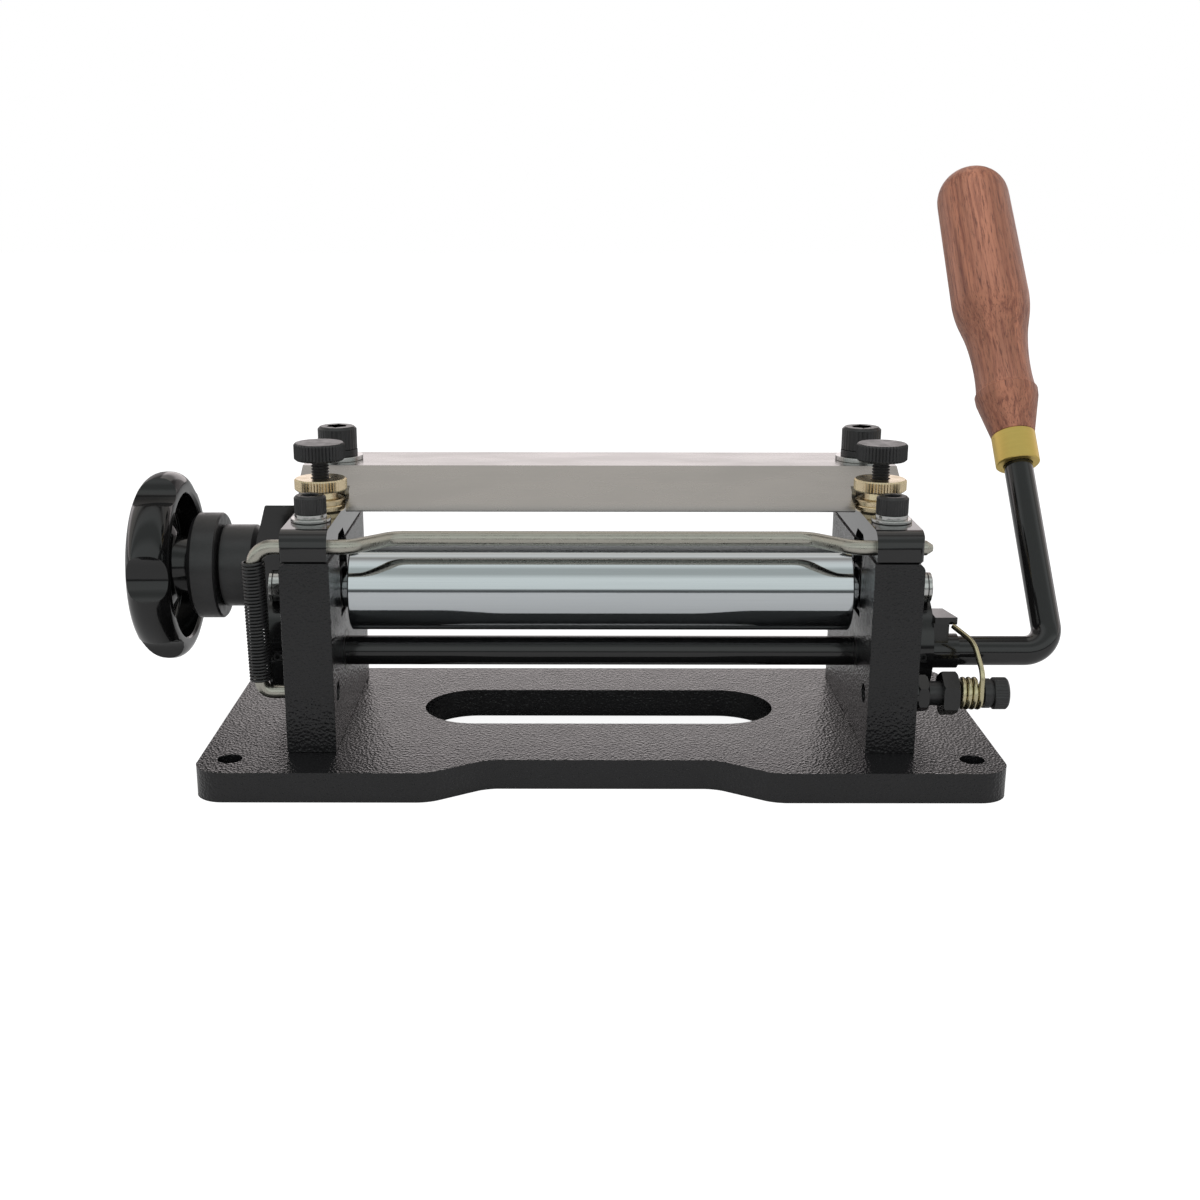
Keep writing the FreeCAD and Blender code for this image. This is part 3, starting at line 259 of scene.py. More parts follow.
def make_hammered_paint():
    base = colours().paint
    finish = Finish("hammered_black_paint", base, 0.2)
    feed(finish.shader, {"Specular IOR Level": 0.43})
    cell = mm(sizes().paint_cell)
    grit = finish.noise((cell * 0.45,) * 3, 2.0)
    relief = reckoned(finish.tree, "MULTIPLY_ADD", grit, 0.35, finish.cells(cell, 0.35))
    finish.bump(relief, mm(sizes().paint_depth))
    wear = finish.noise((9.0, 9.0, 9.0))
    finish.roughen(wear, 0.13, 0.2)
    finish.paint(finish.mix(wear, base, shade(base, 1.5)))
    return finish.material


def make_gloss_paint():
    finish = Finish("gloss_black_paint", colours().gloss, 0.1, coat=0.15)
    return finish.grained(((3.2,) * 3, 2.0), 0.012, ((14.0,) * 3,), (0.08, 0.15), (1.0, 1.4))


def make_black_oxide():
    finish = Finish("black_oxide_steel", colours().oxide, 0.36)
    return finish.grained(((0.5,) * 3,), 0.012, ((3.0,) * 3,), (0.28, 0.42), (0.7, 1.5))


def make_ground_steel():
    base = colours().blade
    finish = Finish("ground_blade_steel", base, 0.34, metallic=1.0)
    streak = finish.noise((30.0, 0.16, 0.16), 3.0, 0.6)
    cloud = finish.noise((26.0, 9.0, 9.0))
    finish.bump(streak, 0.005)
    finish.roughen(cloud, 0.24, 0.32)
    fine = finish.mix(streak, shade(base, 0.88), shade(base, 1.12))
    finish.paint(finish.mix(cloud, fine, base))
    return finish.material


def make_plated(name, base, roughness):
    """Plated or turned metal with a fine even grain."""
    finish = Finish(name, base, roughness, metallic=1.0)
    return finish.grained(((0.35,) * 3,), 0.006, ((4.0,) * 3, 2.0), (roughness * 0.75, roughness * 1.3),
                          (0.86, 1.1), by_cloud=True)


def make_wire(name, base, roughness):
    """Drawn wire along X: faint lengthwise streaks and small dull patches."""
    finish = Finish(name, base, roughness, metallic=1.0)
    return finish.grained(((8.0, 0.3, 0.3),), 0.01, ((3.0, 2.0, 2.0), 4.0, 0.65),
                          (roughness * 0.7, roughness * 1.5), (0.72, 1.12), by_cloud=True)


def make_chrome():
    finish = Finish("polished_roller", colours().chrome, 0.1, metallic=1.0)
    return finish.grained(((40.0, 0.5, 0.5), 2.0), 0.0016, ((20.0, 3.0, 3.0),), (0.05, 0.09), (0.94, 1.04))


def make_ferrule_brass():
    finish = Finish("ferrule_brass", colours().ferrule, 0.2, metallic=1.0)
    finish.turned(LEVER_CORNER, lever_upright())
    return finish.grained(((9.0, 9.0, 0.18), 2.0), 0.004, ((3.0,) * 3,), (0.4, 0.48), (0.9, 1.08))


def make_wood():
    """Open-grained hardwood: streaks and pores that run along the grip."""
    light, dark = colours().wood, colours().wood_dark
    finish = Finish("turned_rosewood", light, 0.45, coat=0.06, coat_roughness=0.3)
    finish.turned(LEVER_CORNER, lever_upright())
    band = finish.noise((5.5, 5.5, 80.0), 3.0, 0.5, 0.6)
    streak = finish.noise((1.3, 1.3, 30.0), 4.0, 0.65, 0.25)
    pore = finish.noise((0.4, 0.4, 6.0), 3.0, 0.7)
    tint = finish.mix(finish.between(band, 0.0, 1.0, 0.35, 0.68), light, shade(light, 0.66))
    tint = finish.mix(finish.between(streak, 0.0, 0.9, 0.46, 0.66), tint, shade(dark, 1.6))
    tint = finish.mix(finish.between(pore, 0.0, 0.9, 0.53, 0.66), tint, dark)
    finish.paint(tint)
    finish.bump(finish.between(pore, 1.0, 0.0, 0.5, 0.72), 0.05)
    finish.roughen(streak, 0.36, 0.5)
    return finish.material


def make_phenolic():
    finish = Finish("polished_phenolic", colours().plastic, 0.09)
    return finish.grained(((5.0,) * 3, 1.0), 0.01, ((16.0,) * 3, 2.0), (0.07, 0.13), (1.0, 1.3),
                          by_cloud=True)


def lever_upright():
    """Direction of the lever's upright, from the bend to the grip."""
    return Vector((-math.sin(LEAN_IN), math.cos(LEAN_IN) * math.sin(LEAN_BACK),
                   math.cos(LEAN_IN) * math.cos(LEAN_BACK)))


FINISHES = {
    "textured_black": make_hammered_paint,
    "gloss_black": make_gloss_paint,
    "black_oxide": make_black_oxide,
    "blade_steel": make_ground_steel,
    "zinc": lambda: make_plated("bright_zinc", colours().zinc, 0.18),
    "dark_steel": lambda: make_plated("machined_steel", shade(colours().zinc, 0.4), 0.4),
    "brass": lambda: make_plated("turned_brass", colours().brass, 0.26),
    "ferrule_brass": make_ferrule_brass,
    "roller_chrome": make_chrome,
    "rosewood": make_wood,
    "nickel_wire": lambda: make_wire("nickel_wire", colours().nickel, 0.27),
    "gold_zinc": lambda: make_wire("yellow_spring_wire", colours().spring, 0.24),
    "gloss_plastic_black": make_phenolic,
}
made_finishes = {}


def finish_of(slot):
    """The material of a slot, made once."""
    if slot not in made_finishes:
        made_finishes[slot] = FINISHES[slot]()
    return made_finishes[slot]


# ---------------- modelling
def only(kind, items):
    return [item for item in items if isinstance(item, kind)]


def ends_of(edges):
    """The vertices of edges, each once and in the same order each time."""
    return list(dict.fromkeys(vert for edge in edges for vert in edge.verts))


def edges_at(verts):
    """The edges that meet vertices, each once and in the same order each time."""
    return list(dict.fromkeys(edge for vert in verts for edge in vert.link_edges))


def mesh_data(name, mesh):
    data = bpy.data.meshes.new(name)
    mesh.to_mesh(data)
    return data


def in_scene(name, data):
    """New object in the scene."""
    item = bpy.data.objects.new(name, data)
    bpy.context.scene.collection.objects.link(item)
    return item


def outline(mesh, points, roundings, closed=True, steps=6):
    """Few points joined by edges, with an arc of the given radius at each; returns the edges."""
    known = set(mesh.edges)
    verts = [mesh.verts.new(point) for point in points]
    ends = verts[1:] + verts[:1] if closed else verts[1:]
    for first, second in zip(verts, ends):
        mesh.edges.new((first, second))
    for vert, radius in zip(verts, roundings):
        if radius:
            arms = [edge.other_vert(vert).co - vert.co for edge in vert.link_edges]
            reach = radius / math.tan(arms[0].angle(arms[1]) / 2)
            bmesh.ops.bevel(mesh, geom=[vert], offset=reach, offset_type="OFFSET", affect="VERTICES",
                            segments=steps, profile=0.5, material=-1)
    return [edge for edge in mesh.edges if edge not in known]


def circle(mesh, centre, axis, radius, segments=32):
    """Loop of edges round an axis."""
    turn = UP.rotation_difference(axis).to_matrix().to_4x4()
    verts = bmesh.ops.create_circle(mesh, cap_ends=False, segments=segments, radius=radius,
                                    matrix=Matrix.Translation(centre) @ turn)["verts"]
    return edges_at(verts)


def drawn_out(mesh, edges, vector):
    """Walls from loops of edges along a vector; returns the edges at their far end."""
    made = bmesh.ops.extrude_edge_only(mesh, edges=edges)["geom"]
    moved = set(only(bmesh.types.BMVert, made))
    bmesh.ops.translate(mesh, vec=vector, verts=list(moved))
    return [edge for edge in only(bmesh.types.BMEdge, made) if set(edge.verts) <= moved]


def closed_flat(mesh, edges):
    """Flat face inside the loops, with the inner loops left open."""
    made = bmesh.ops.triangle_fill(mesh, use_beauty=True, use_dissolve=False, edges=edges)["geom"]
    faces = set(only(bmesh.types.BMFace, made))
    inner = [edge for edge in only(bmesh.types.BMEdge, made) if set(edge.link_faces) <= faces]
    bmesh.ops.dissolve_limit(mesh, angle_limit=0.02, verts=[], edges=inner)


def slab(mesh, edges, vector):
    """Solid between loops of edges and the same loops moved by a vector."""
    far = drawn_out(mesh, edges, vector)
    closed_flat(mesh, edges)
    closed_flat(mesh, far)


def lathe(mesh, profile, roundings=None, segments=64, steps=5, closed=False):
    """Solid turned about Z from (height, radius) points, with a rounding at each; returns its vertices."""
    known = set(mesh.verts)
    points = [(radius, 0, height) for height, radius in profile]
    edges = outline(mesh, points, roundings or [0] * len(points), closed, steps)
    bmesh.ops.spin(mesh, geom=ends_of(edges) + edges, cent=(0, 0, 0), axis=UP, angle=FULL_TURN,
                   steps=segments, use_merge=True)
    made = [vert for vert in mesh.verts if vert not in known]
    bmesh.ops.remove_doubles(mesh, verts=made, dist=WELD)
    return [vert for vert in mesh.verts if vert not in known]


def set_on(mesh, verts, origin, axis):
    """Moves what was drawn about Z on to an axis through origin."""
    turn = UP.rotation_difference(Vector(axis)).to_matrix().to_4x4()
    bmesh.ops.transform(mesh, matrix=Matrix.Translation(origin) @ turn, verts=verts)


def knurled(mesh, verts, low, high, teeth, depth):
    """Draws every other column of vertices in, between two heights on a piece turned about Z."""
    pitch = math.pi / teeth
    chosen = []
    for vert in verts:
        column = round(math.atan2(vert.co.y, vert.co.x) / pitch)
        if low <= vert.co.z <= high and column % 2:
            chosen.append(vert)
    outer = max(vert.co.xy.length for vert in chosen)
    share = 1 - depth / outer
    bmesh.ops.scale(mesh, vec=(share, share, 1), verts=[v for v in chosen if v.co.xy.length > outer * 0.9])


def lathed(profile, origin, axis=UP, roundings=None, segments=64, steps=5, closed=False, knurl=()):
    """Mesh of a solid turned about an axis through origin, knurled where knurl says."""
    mesh = bmesh.new()
    verts = lathe(mesh, profile, roundings, segments, steps, closed)
    if knurl:
        knurled(mesh, verts, *knurl)
    set_on(mesh, verts, origin, axis)
    return mesh


def mirrored(mesh):
    """Adds the mirror image on the other side of the machine."""
    bmesh.ops.mirror(mesh, geom=mesh.verts[:] + mesh.edges[:] + mesh.faces[:], axis="X", merge_dist=0.0)


def other_side(mesh):
    """Turns a right-hand piece into a left-hand one."""
    bmesh.ops.scale(mesh, vec=(-1, 1, 1), verts=mesh.verts)


def eased(mesh, width, angle=35.0, steps=2, where=None):
    """Rounds the edges that are sharper than an angle."""
    limit = math.radians(angle)
    chosen = [edge for edge in mesh.edges if edge.is_manifold and edge.calc_face_angle(0.0) > limit
              and (where is None or where(edge))]
    bmesh.ops.bevel(mesh, geom=chosen, offset=width, offset_type="OFFSET", affect="EDGES", segments=steps,
                    profile=0.5, material=-1, clamp_overlap=True)


def flattened(mesh):
    """Merges doubles and dissolves the edges inside flat faces."""
    bmesh.ops.remove_doubles(mesh, verts=mesh.verts, dist=CAD_WELD)
    bmesh.ops.dissolve_limit(mesh, angle_limit=NEARLY_FLAT, verts=[], edges=mesh.edges)


def carved(mesh, *tools, operation="DIFFERENCE"):
    """Cuts the closed tool meshes out of a mesh, or keeps what they share."""
    bodies = []
    for part in (mesh, *tools):
        bmesh.ops.recalc_face_normals(part, faces=part.faces)
        bodies.append(in_scene("carving", mesh_data("carving", part)))
    for tool in bodies[1:]:
        cut = bodies[0].modifiers.new("Cut", "BOOLEAN")
        cut.operation, cut.solver, cut.object = operation, "EXACT", tool
    result = bodies[0].evaluated_get(bpy.context.evaluated_depsgraph_get())
    mesh.clear()
    mesh.from_mesh(result.to_mesh())
    result.to_mesh_clear()
    for body in bodies:
        data = body.data
        bpy.data.objects.remove(body)
        bpy.data.meshes.remove(data)
    for tool in tools:
        tool.free()
    flattened(mesh)


def rod(centre, axis, radius, reach, segments=48):
    """Closed cylinder as a tool for carving."""
    mesh = bmesh.new()
    slab(mesh, circle(mesh, centre, Vector(axis), radius, segments), Vector(axis) * reach)
    return mesh


def block(low, high):
    """Closed box as a tool for carving."""
    mesh = bmesh.new()
    bmesh.ops.create_cube(mesh, size=1.0)
    middle = (Vector(low) + Vector(high)) / 2
    bmesh.ops.scale(mesh, vec=Vector(high) - Vector(low), verts=mesh.verts)
    bmesh.ops.translate(mesh, vec=middle, verts=mesh.verts)
    return mesh


def prism(corners, low, high, steps=6):
    """Closed prism along X over corners (y, z, rounding)."""
    mesh = bmesh.new()
    edges = outline(mesh, [(low, y, z) for y, z, _ in corners], [r for _, _, r in corners], steps=steps)
    slab(mesh, edges, Vector((high - low, 0, 0)))
    return mesh


def hexagon(mesh, across, height, columns):
    """Hexagonal loop about Z with the given number of vertices."""
    known = set(mesh.edges)
    made = bmesh.ops.create_circle(mesh, cap_ends=False, segments=6, radius=across / math.sqrt(3),
                                   matrix=Matrix.Translation((0, 0, height)))
    bmesh.ops.subdivide_edges(mesh, edges=edges_at(made["verts"]), cuts=columns // 6 - 1)
    return [edge for edge in mesh.edges if edge not in known]


def socket_head(seat, axis, radius, height, edge, across, depth, shank=0.0, reach=0.0):
    """Knurled round head on its seat, with a hexagonal socket and a plain shank below."""
    teeth = sizes().screw_teeth // 3 * 3
    columns, chamfer = teeth * 2, 0.25
    profile = [(0, 0), (0, radius - 0.25), (0.25, radius), (height - edge, radius), (height, radius - edge),
               (height, radius - edge - 0.35)]
    roundings = [0, 0, 0, 0, edge * 0.5, 0]
    if shank:
        profile = [(-reach, 0), (-reach, shank - 0.5), (0.5 - reach, shank), (0, shank)] + profile[1:]
        roundings = [0, 0, 0] + roundings
    mesh = bmesh.new()
    verts = lathe(mesh, profile, roundings, columns, 3)
    knurled(mesh, verts, 0.2, height - edge * 0.98, teeth, 0.16)
    rim = [e for e in mesh.edges if e.is_boundary]
    mouth = hexagon(mesh, across + 2 * chamfer, height, columns)
    bmesh.ops.bridge_loops(mesh, edges=rim + mouth)
    inner = drawn_out(mesh, mouth, Vector((0, 0, -chamfer)))
    share = across / (across + 2 * chamfer)
    bmesh.ops.scale(mesh, vec=(share, share, 1), verts=ends_of(inner))
    closed_flat(mesh, drawn_out(mesh, inner, Vector((0, 0, chamfer - depth))))
    set_on(mesh, mesh.verts, seat, axis)
    return mesh


def swept(mesh, edges, points, bends, steps=10):
    """Draws a loop of edges along straight runs and round bends; returns the last loop."""
    here = Vector(points[0])
    for number, radius in enumerate(list(bends) + [0], 1):
        corner = Vector(points[number])
        ahead = (corner - here).normalized()
        if not radius:
            return drawn_out(mesh, edges, corner - here)
        onward = (Vector(points[number + 1]) - corner).normalized()
        turn = ahead.angle(onward)
        reach = radius * math.tan(turn / 2)
        edges = drawn_out(mesh, edges, corner - ahead * reach - here)
        inward = (onward - ahead).normalized()
        centre = corner + inward * (radius / math.cos(turn / 2))
        made = bmesh.ops.spin(mesh, geom=ends_of(edges) + edges, cent=centre, axis=ahead.cross(onward),
                              angle=turn, steps=steps)["geom_last"]
        edges = only(bmesh.types.BMEdge, made)
        here = corner + onward * reach
    return edges


def wound(mesh, edges, centre, axis, turns, pitch, steps=24):
    """Winds a loop of edges round an axis as a coil; returns the last loop."""
    made = bmesh.ops.spin(mesh, geom=ends_of(edges) + edges, cent=centre, axis=axis,
                          angle=FULL_TURN * turns, steps=round(turns * steps),
                          dvec=Vector(axis).normalized() * (pitch / steps))["geom_last"]
    return only(bmesh.types.BMEdge, made)


def joined(mesh, other):
    """Adds another mesh's geometry."""
    data = mesh_data("part", other)
    other.free()
    mesh.from_mesh(data)
    bpy.data.meshes.remove(data)


def copied(node, width, angle=35.0, steps=2):
    """Merged copy of a node's mesh in millimetres, with its sharp edges rounded."""
    mesh = bmesh.new()
    mesh.from_mesh(frame["nodes"][node].data)
    bmesh.ops.scale(mesh, vec=(1 / MM,) * 3, verts=mesh.verts)
    flattened(mesh)
    eased(mesh, width, angle, steps)
    return mesh


def finished(name, mesh, body, slot, nodes, sharp=32.0, flat_first=True):
    """Makes a piece of a mesh drawn in millimetres; a piece that bends between bodies is given no body."""
    bmesh.ops.remove_doubles(mesh, verts=mesh.verts, dist=WELD)
    bmesh.ops.recalc_face_normals(mesh, faces=mesh.faces)
    bmesh.ops.scale(mesh, vec=(MM,) * 3, verts=mesh.verts)
    data = mesh_data(name, mesh)
    mesh.free()
    data.polygons.foreach_set("use_smooth", [True] * len(data.polygons))
    data.set_sharp_from_angle(angle=math.radians(sharp))
    data.materials.append(finish_of(slot))
    piece = in_scene(name, data)
    if flat_first:
        weigh = piece.modifiers.new("Flat faces first", "WEIGHTED_NORMAL")
        weigh.mode, weigh.weight, weigh.keep_sharp = "FACE_AREA", 50, True
    if body:
        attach(piece, body)
    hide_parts(*nodes)
    return piece


def refinished(*nodes):
    """Gives frame nodes whose shape stays the finish of their own slot."""
    slots = {part["node"]: part["material_slot"] for part in frame["record"]["subparts"]}
    for node in nodes:
        materials = frame["nodes"][node].data.materials
        materials.clear()
        materials.append(finish_of(slots[node]))


# ---------------- stage
def make_camera():
    camera = bpy.data.cameras.new("View")
    camera.sensor_width = 36.0
    camera.lens = 46.16
    camera.shift_x = 0.0206
    camera.shift_y = 0.0176
    camera.clip_start = 0.01
    viewer = in_scene("View", camera)
    viewer.location = (-0.008475, -0.509, 0.1885)
    pitch = Matrix.Rotation(math.radians(90 - 15.811), 4, "X")
    yaw = Matrix.Rotation(math.radians(-0.01), 4, "Z")
    roll = Matrix.Rotation(math.radians(0.078), 4, "Z")
    viewer.rotation_euler = (yaw @ pitch @ roll).to_euler()
    bpy.context.scene.camera = viewer


def make_lamp(name, place, target, width, height, power):
    lamp = bpy.data.lights.new(name, "AREA")
    lamp.shape, lamp.size, lamp.size_y, lamp.energy = "RECTANGLE", width, height, power
    panel = in_scene(name, lamp)
    panel.location = place
    panel.rotation_euler = (Vector(place) - Vector(target)).to_track_quat("Z", "Y").to_euler()
    panel.visible_camera = False
    panel.visible_glossy = False


# What glossy surfaces mirror of the studio: degrees from the horizon in front, up and over to the one
# behind, and the colour there.
MIRRORED_STUDIO = (
    (0, (0.08, 0.085, 0.085)), (5, (0.10, 0.105, 0.105)), (9, (0.62, 0.66, 0.65)),
    (36, (0.66, 0.70, 0.69)), (48, (0.38, 0.41, 0.40)), (62, (0.38, 0.41, 0.40)),
    (72, (0.64, 0.68, 0.67)), (82, (0.62, 0.64, 0.63)), (93, (0.30, 0.29, 0.28)),
    (97, (0.32, 0.31, 0.29)), (104, (0.68, 0.68, 0.66)), (108, (0.55, 0.54, 0.52)),
    (117, (0.62, 0.595, 0.555)), (140, (0.60, 0.57, 0.54)), (154, (0.45, 0.42, 0.42)),
    (161, (1.0, 0.93, 0.93)), (180, (1.0, 0.93, 0.93)),
)
# Dark screens at both sides behind the machine: how far a direction points sideways, and its brightness.
SIDE_SCREENS = ((0.225, 1.0), (0.26, 0.3), (0.5, 0.3), (0.62, 1.0))
MIRRORED_STRENGTH, SOFT_STRENGTH = 1.35, 0.55
FLOOR_MATT, FLOOR_VEIL, FLOOR_GLOW = 0.66, 0.3, 0.9
FLOOR_HALF, FLOOR_LEVEL = 4.0, -0.0001


def grey(level):
    return level, level, level, 1


def emptied(owner):
    """Node tree of a world or a material, with nothing in it."""
    owner.use_nodes = True
    owner.node_tree.nodes.clear()
    return owner.node_tree


def colour_ramp(tree, factor, stops):
    """Output of a ramp over (position, colour) stops."""
    ramp = new_node(tree, "ShaderNodeValToRGB", {"Fac": factor})
    elements = ramp.color_ramp.elements
    for number, (position, tint) in enumerate(stops):
        element = elements[number] if number < 2 else elements.new(1.0)
        element.position, element.color = position, tint
    return ramp.outputs["Color"]


def shader(tree, kind, inputs):
    return new_node(tree, "ShaderNode" + kind, inputs).outputs[0]


def make_world():
    """White where it is seen, bright and dark panels where it is mirrored, even as a light."""
    world = bpy.data.worlds.new("Studio")
    tree = emptied(world)
    rays = new_node(tree, "ShaderNodeLightPath").outputs
    direction = new_node(tree, "ShaderNodeTexCoord").outputs["Generated"]
    parts = new_node(tree, "ShaderNodeSeparateXYZ", {"Vector": direction}).outputs
    turn = reckoned(tree, "ARCTAN2", parts["Z"], reckoned(tree, "MULTIPLY", parts["Y"], -1.0))
    share = new_node(tree, "ShaderNodeMapRange", {"Value": turn, "From Max": math.pi}).outputs["Result"]
    panels = colour_ramp(tree, share, [(degrees / 180, (*tint, 1)) for degrees, tint in MIRRORED_STUDIO])
    behind = reckoned(tree, "GREATER_THAN", parts["Y"], 0.0)
    sideways = reckoned(tree, "MULTIPLY", reckoned(tree, "ABSOLUTE", parts["X"]), behind)
    screens = colour_ramp(tree, sideways, [(reach, grey(level)) for reach, level in SIDE_SCREENS])
    strength = reckoned(tree, "MULTIPLY", screens, MIRRORED_STRENGTH)
    mirrored_light = shader(tree, "Background", {"Color": panels, "Strength": strength})
    soft_light = shader(tree, "Background", {"Color": grey(1), "Strength": SOFT_STRENGTH})
    lit = shader(tree, "MixShader", {0: rays["Is Glossy Ray"], 1: soft_light, 2: mirrored_light})
    seen = reckoned(tree, "MAXIMUM", rays["Is Camera Ray"], rays["Is Transmission Ray"])
    white = shader(tree, "Background", {"Color": grey(1)})
    whole = shader(tree, "MixShader", {0: seen, 1: lit, 2: white})
    new_node(tree, "ShaderNodeOutputWorld", {"Surface": whole})
    bpy.context.scene.world = world


def make_floor():
    """Matt pale floor that keeps shadows and is close to white where it is seen."""
    mesh = bmesh.new()
    bmesh.ops.create_grid(mesh, x_segments=1, y_segments=1, size=FLOOR_HALF)
    bmesh.ops.translate(mesh, vec=(0, 0, FLOOR_LEVEL), verts=mesh.verts)
    floor = in_scene("floor", mesh_data("floor", mesh))
    mesh.free()
    material = bpy.data.materials.new("pale_floor")
    tree = emptied(material)
    seen = new_node(tree, "ShaderNodeLightPath").outputs["Is Camera Ray"]
    matt = shader(tree, "BsdfDiffuse", {"Color": grey(FLOOR_MATT)})
    veil = shader(tree, "BsdfDiffuse", {"Color": grey(FLOOR_VEIL)})
    glow = shader(tree, "Emission", {"Strength": FLOOR_GLOW})
    bright = shader(tree, "AddShader", {0: veil, 1: glow})
    whole = shader(tree, "MixShader", {0: seen, 1: matt, 2: bright})
    new_node(tree, "ShaderNodeOutputMaterial", {"Surface": whole})
    floor.data.materials.append(material)


class SplitterStage(bpy.types.Operator):
    """Add the camera, the pale floor and the soft studio light"""
    bl_idname = "splitter.stage"
    bl_label = "Stage"

    def execute(self, context):
        context.scene.view_settings.view_transform = "Standard"
        make_camera()
        make_world()
        make_floor()
        make_lamp("Overhead softbox", place=(-0.1, -0.25, 1.3), target=(0, 0, 0.05), width=1.5, height=0.9,
                  power=9.0)
        make_lamp("Front softbox", place=(0.0, -1.9, 0.75), target=(0, 0, 0.06), width=2.4, height=0.8,
                  power=9.0)
        return {"FINISHED"}


# ---------------- frame pieces
class SplitterBase(bpy.types.Operator):
    """Model the base plate with its long slot, front recess and bench holes"""
    bl_idname = "splitter.base"
    bl_label = "Base plate"

    def execute(self, context):
        half_x, half_y, thick = BASE
        mesh = bmesh.new()
        corners = [(-half_x, -half_y, 9.5), (-55, -half_y, 12), (-37, 11.8 - half_y, 12),
                   (37, 11.8 - half_y, 12), (55, -half_y, 12), (half_x, -half_y, 9.5),
                   (half_x, half_y, 9.5), (-half_x, half_y, 9.5)]
        edges = outline(mesh, [(x, y, 0) for x, y, _ in corners], [r for _, _, r in corners], steps=10)
        slot_y, slot_half, slot_reach = 10.1, 18.25, 61.5
        low, high = slot_y - slot_half, slot_y + slot_half
        edges += outline(mesh, [(-slot_reach, low, 0), (slot_reach, low, 0), (slot_reach, high, 0),
                                (-slot_reach, high, 0)], [slot_half - 0.05] * 4, steps=16)
        for x in (-120.0, 120.0):
            for y in (-42.5, 42.5):
                edges += circle(mesh, (x, y, 0), UP, 4.0)
        slab(mesh, edges, UP * thick)
        eased(mesh, mm(sizes().base_edge), 50.0, 3)
        seats = [rod((x, y, -0.1), UP, 6.1, 3.4) for x in (-PLATE_MID, PLATE_MID) for y in (-20.0, 30.0)]
        carved(mesh, *seats)
        finished("base", mesh, "frame", "textured_black", ["base_plate"])
        refinished("base_screws")
        return {"FINISHED"}


class SplitterSidePlates(bpy.types.Operator):
    """Model the two side plates with their block slots, shaft bores and front cross holes"""
    bl_idname = "splitter.side_plates"
    bl_label = "Side plates"

    def execute(self, context):
        for side, (hole_y, hole_z), hole in (("left", ANCHOR, 2.3), ("right", POST, 3.05)):
            mesh = block((PLATE_IN, PLATE_FRONT, BASE[2]), (PLATE_OUT, PLATE_BACK, PLATE_TOP))
            eased(mesh, 2.5, steps=5, where=lambda edge: all(
                v.co.x > PLATE_OUT - 0.1 and v.co.z > PLATE_TOP - 0.1 for v in edge.verts))
            slot = block((PLATE_IN - 1, AXLE_Y - SLOT_HALF, SLOT_FLOOR),
                         (PLATE_OUT + 1, AXLE_Y + SLOT_HALF, PLATE_TOP + 1))
            bore = rod((PLATE_IN - 1, AXLE_Y, SHAFT_Z), RIGHT, 7.05, 18)
            cross = rod((PLATE_IN - 1, hole_y, hole_z), RIGHT, hole, 18)
            mouth = rod((PLATE_IN - 1, hole_y, hole_z), RIGHT, 3.25, 4)
            carved(mesh, slot, bore, cross, mouth)
            eased(mesh, mm(sizes().plate_edge), 40.0)
            if side == "left":
                other_side(mesh)
            finished("side_plate_of_the_" + side, mesh, "frame", "textured_black",
                     ["side_plate_" + side])
        refinished("shaft_bushes")
        return {"FINISHED"}


class SplitterCaps(bpy.types.Operator):
    """Model the cap blocks that close the bearing slots"""
    bl_idname = "splitter.caps"
    bl_label = "Cap blocks"

    def execute(self, context):
        edge_width = mm(sizes().cap_edge)
        for side, corner in (("left", 1.0), ("right", 2.0)):
            mesh = prism([
                (PLATE_FRONT, PLATE_TOP, 0), (PLATE_BACK, PLATE_TOP, 0),
                (PLATE_BACK, CAP_TOP, edge_width), (PLATE_FRONT, CAP_TOP, 5.8),
            ], CAP_IN - 1, CAP_OUT + 1, steps=10)
            plan = bmesh.new()
            low, high = PLATE_FRONT - 0.01, PLATE_BACK + 0.01
            edges = outline(plan, [(CAP_IN, low, PLATE_TOP - 1), (CAP_OUT, low, PLATE_TOP - 1),
                                   (CAP_OUT, high, PLATE_TOP - 1), (CAP_IN, high, PLATE_TOP - 1)],
                            [0, corner, corner, 0], steps=8)
            slab(plan, edges, UP * 12)
            carved(mesh, plan, operation="INTERSECT")
            eased(mesh, edge_width, steps=3, where=lambda edge: all(
                v.co.z > PLATE_TOP + 3 and not CAP_IN + 0.1 < v.co.x < CAP_OUT - corner - 0.1
                for v in edge.verts))
            eased(mesh, 0.7, steps=1, where=lambda edge: all(v.co.z < PLATE_TOP + 0.1 for v in edge.verts))
            recess = prism([
                (AXLE_Y - SLOT_HALF, PLATE_TOP - 1, 0), (AXLE_Y + SLOT_HALF, PLATE_TOP - 1, 0),
                (AXLE_Y + SLOT_HALF, PLATE_TOP + 1.2, 0), (AXLE_Y + 5.15, PLATE_TOP + 4.0, 1),
                (AXLE_Y - 5.15, PLATE_TOP + 4.0, 1), (AXLE_Y - SLOT_HALF, PLATE_TOP + 1.2, 0),
            ], PLATE_IN - 1, PLATE_OUT + 1)
            journal = rod((PLATE_IN - 1, *JOURNAL), RIGHT, 2.45, 18)
            stud = rod((NUT_X, NUT_Y, PLATE_TOP), UP, 3.05, 12)
            carved(mesh, recess, journal, stud)
            eased(mesh, 0.2, 50.0)
            if side == "left":
                other_side(mesh)
            finished("cap_of_the_" + side, mesh, "frame", "gloss_black", ["cap_block_" + side])
        return {"FINISHED"}


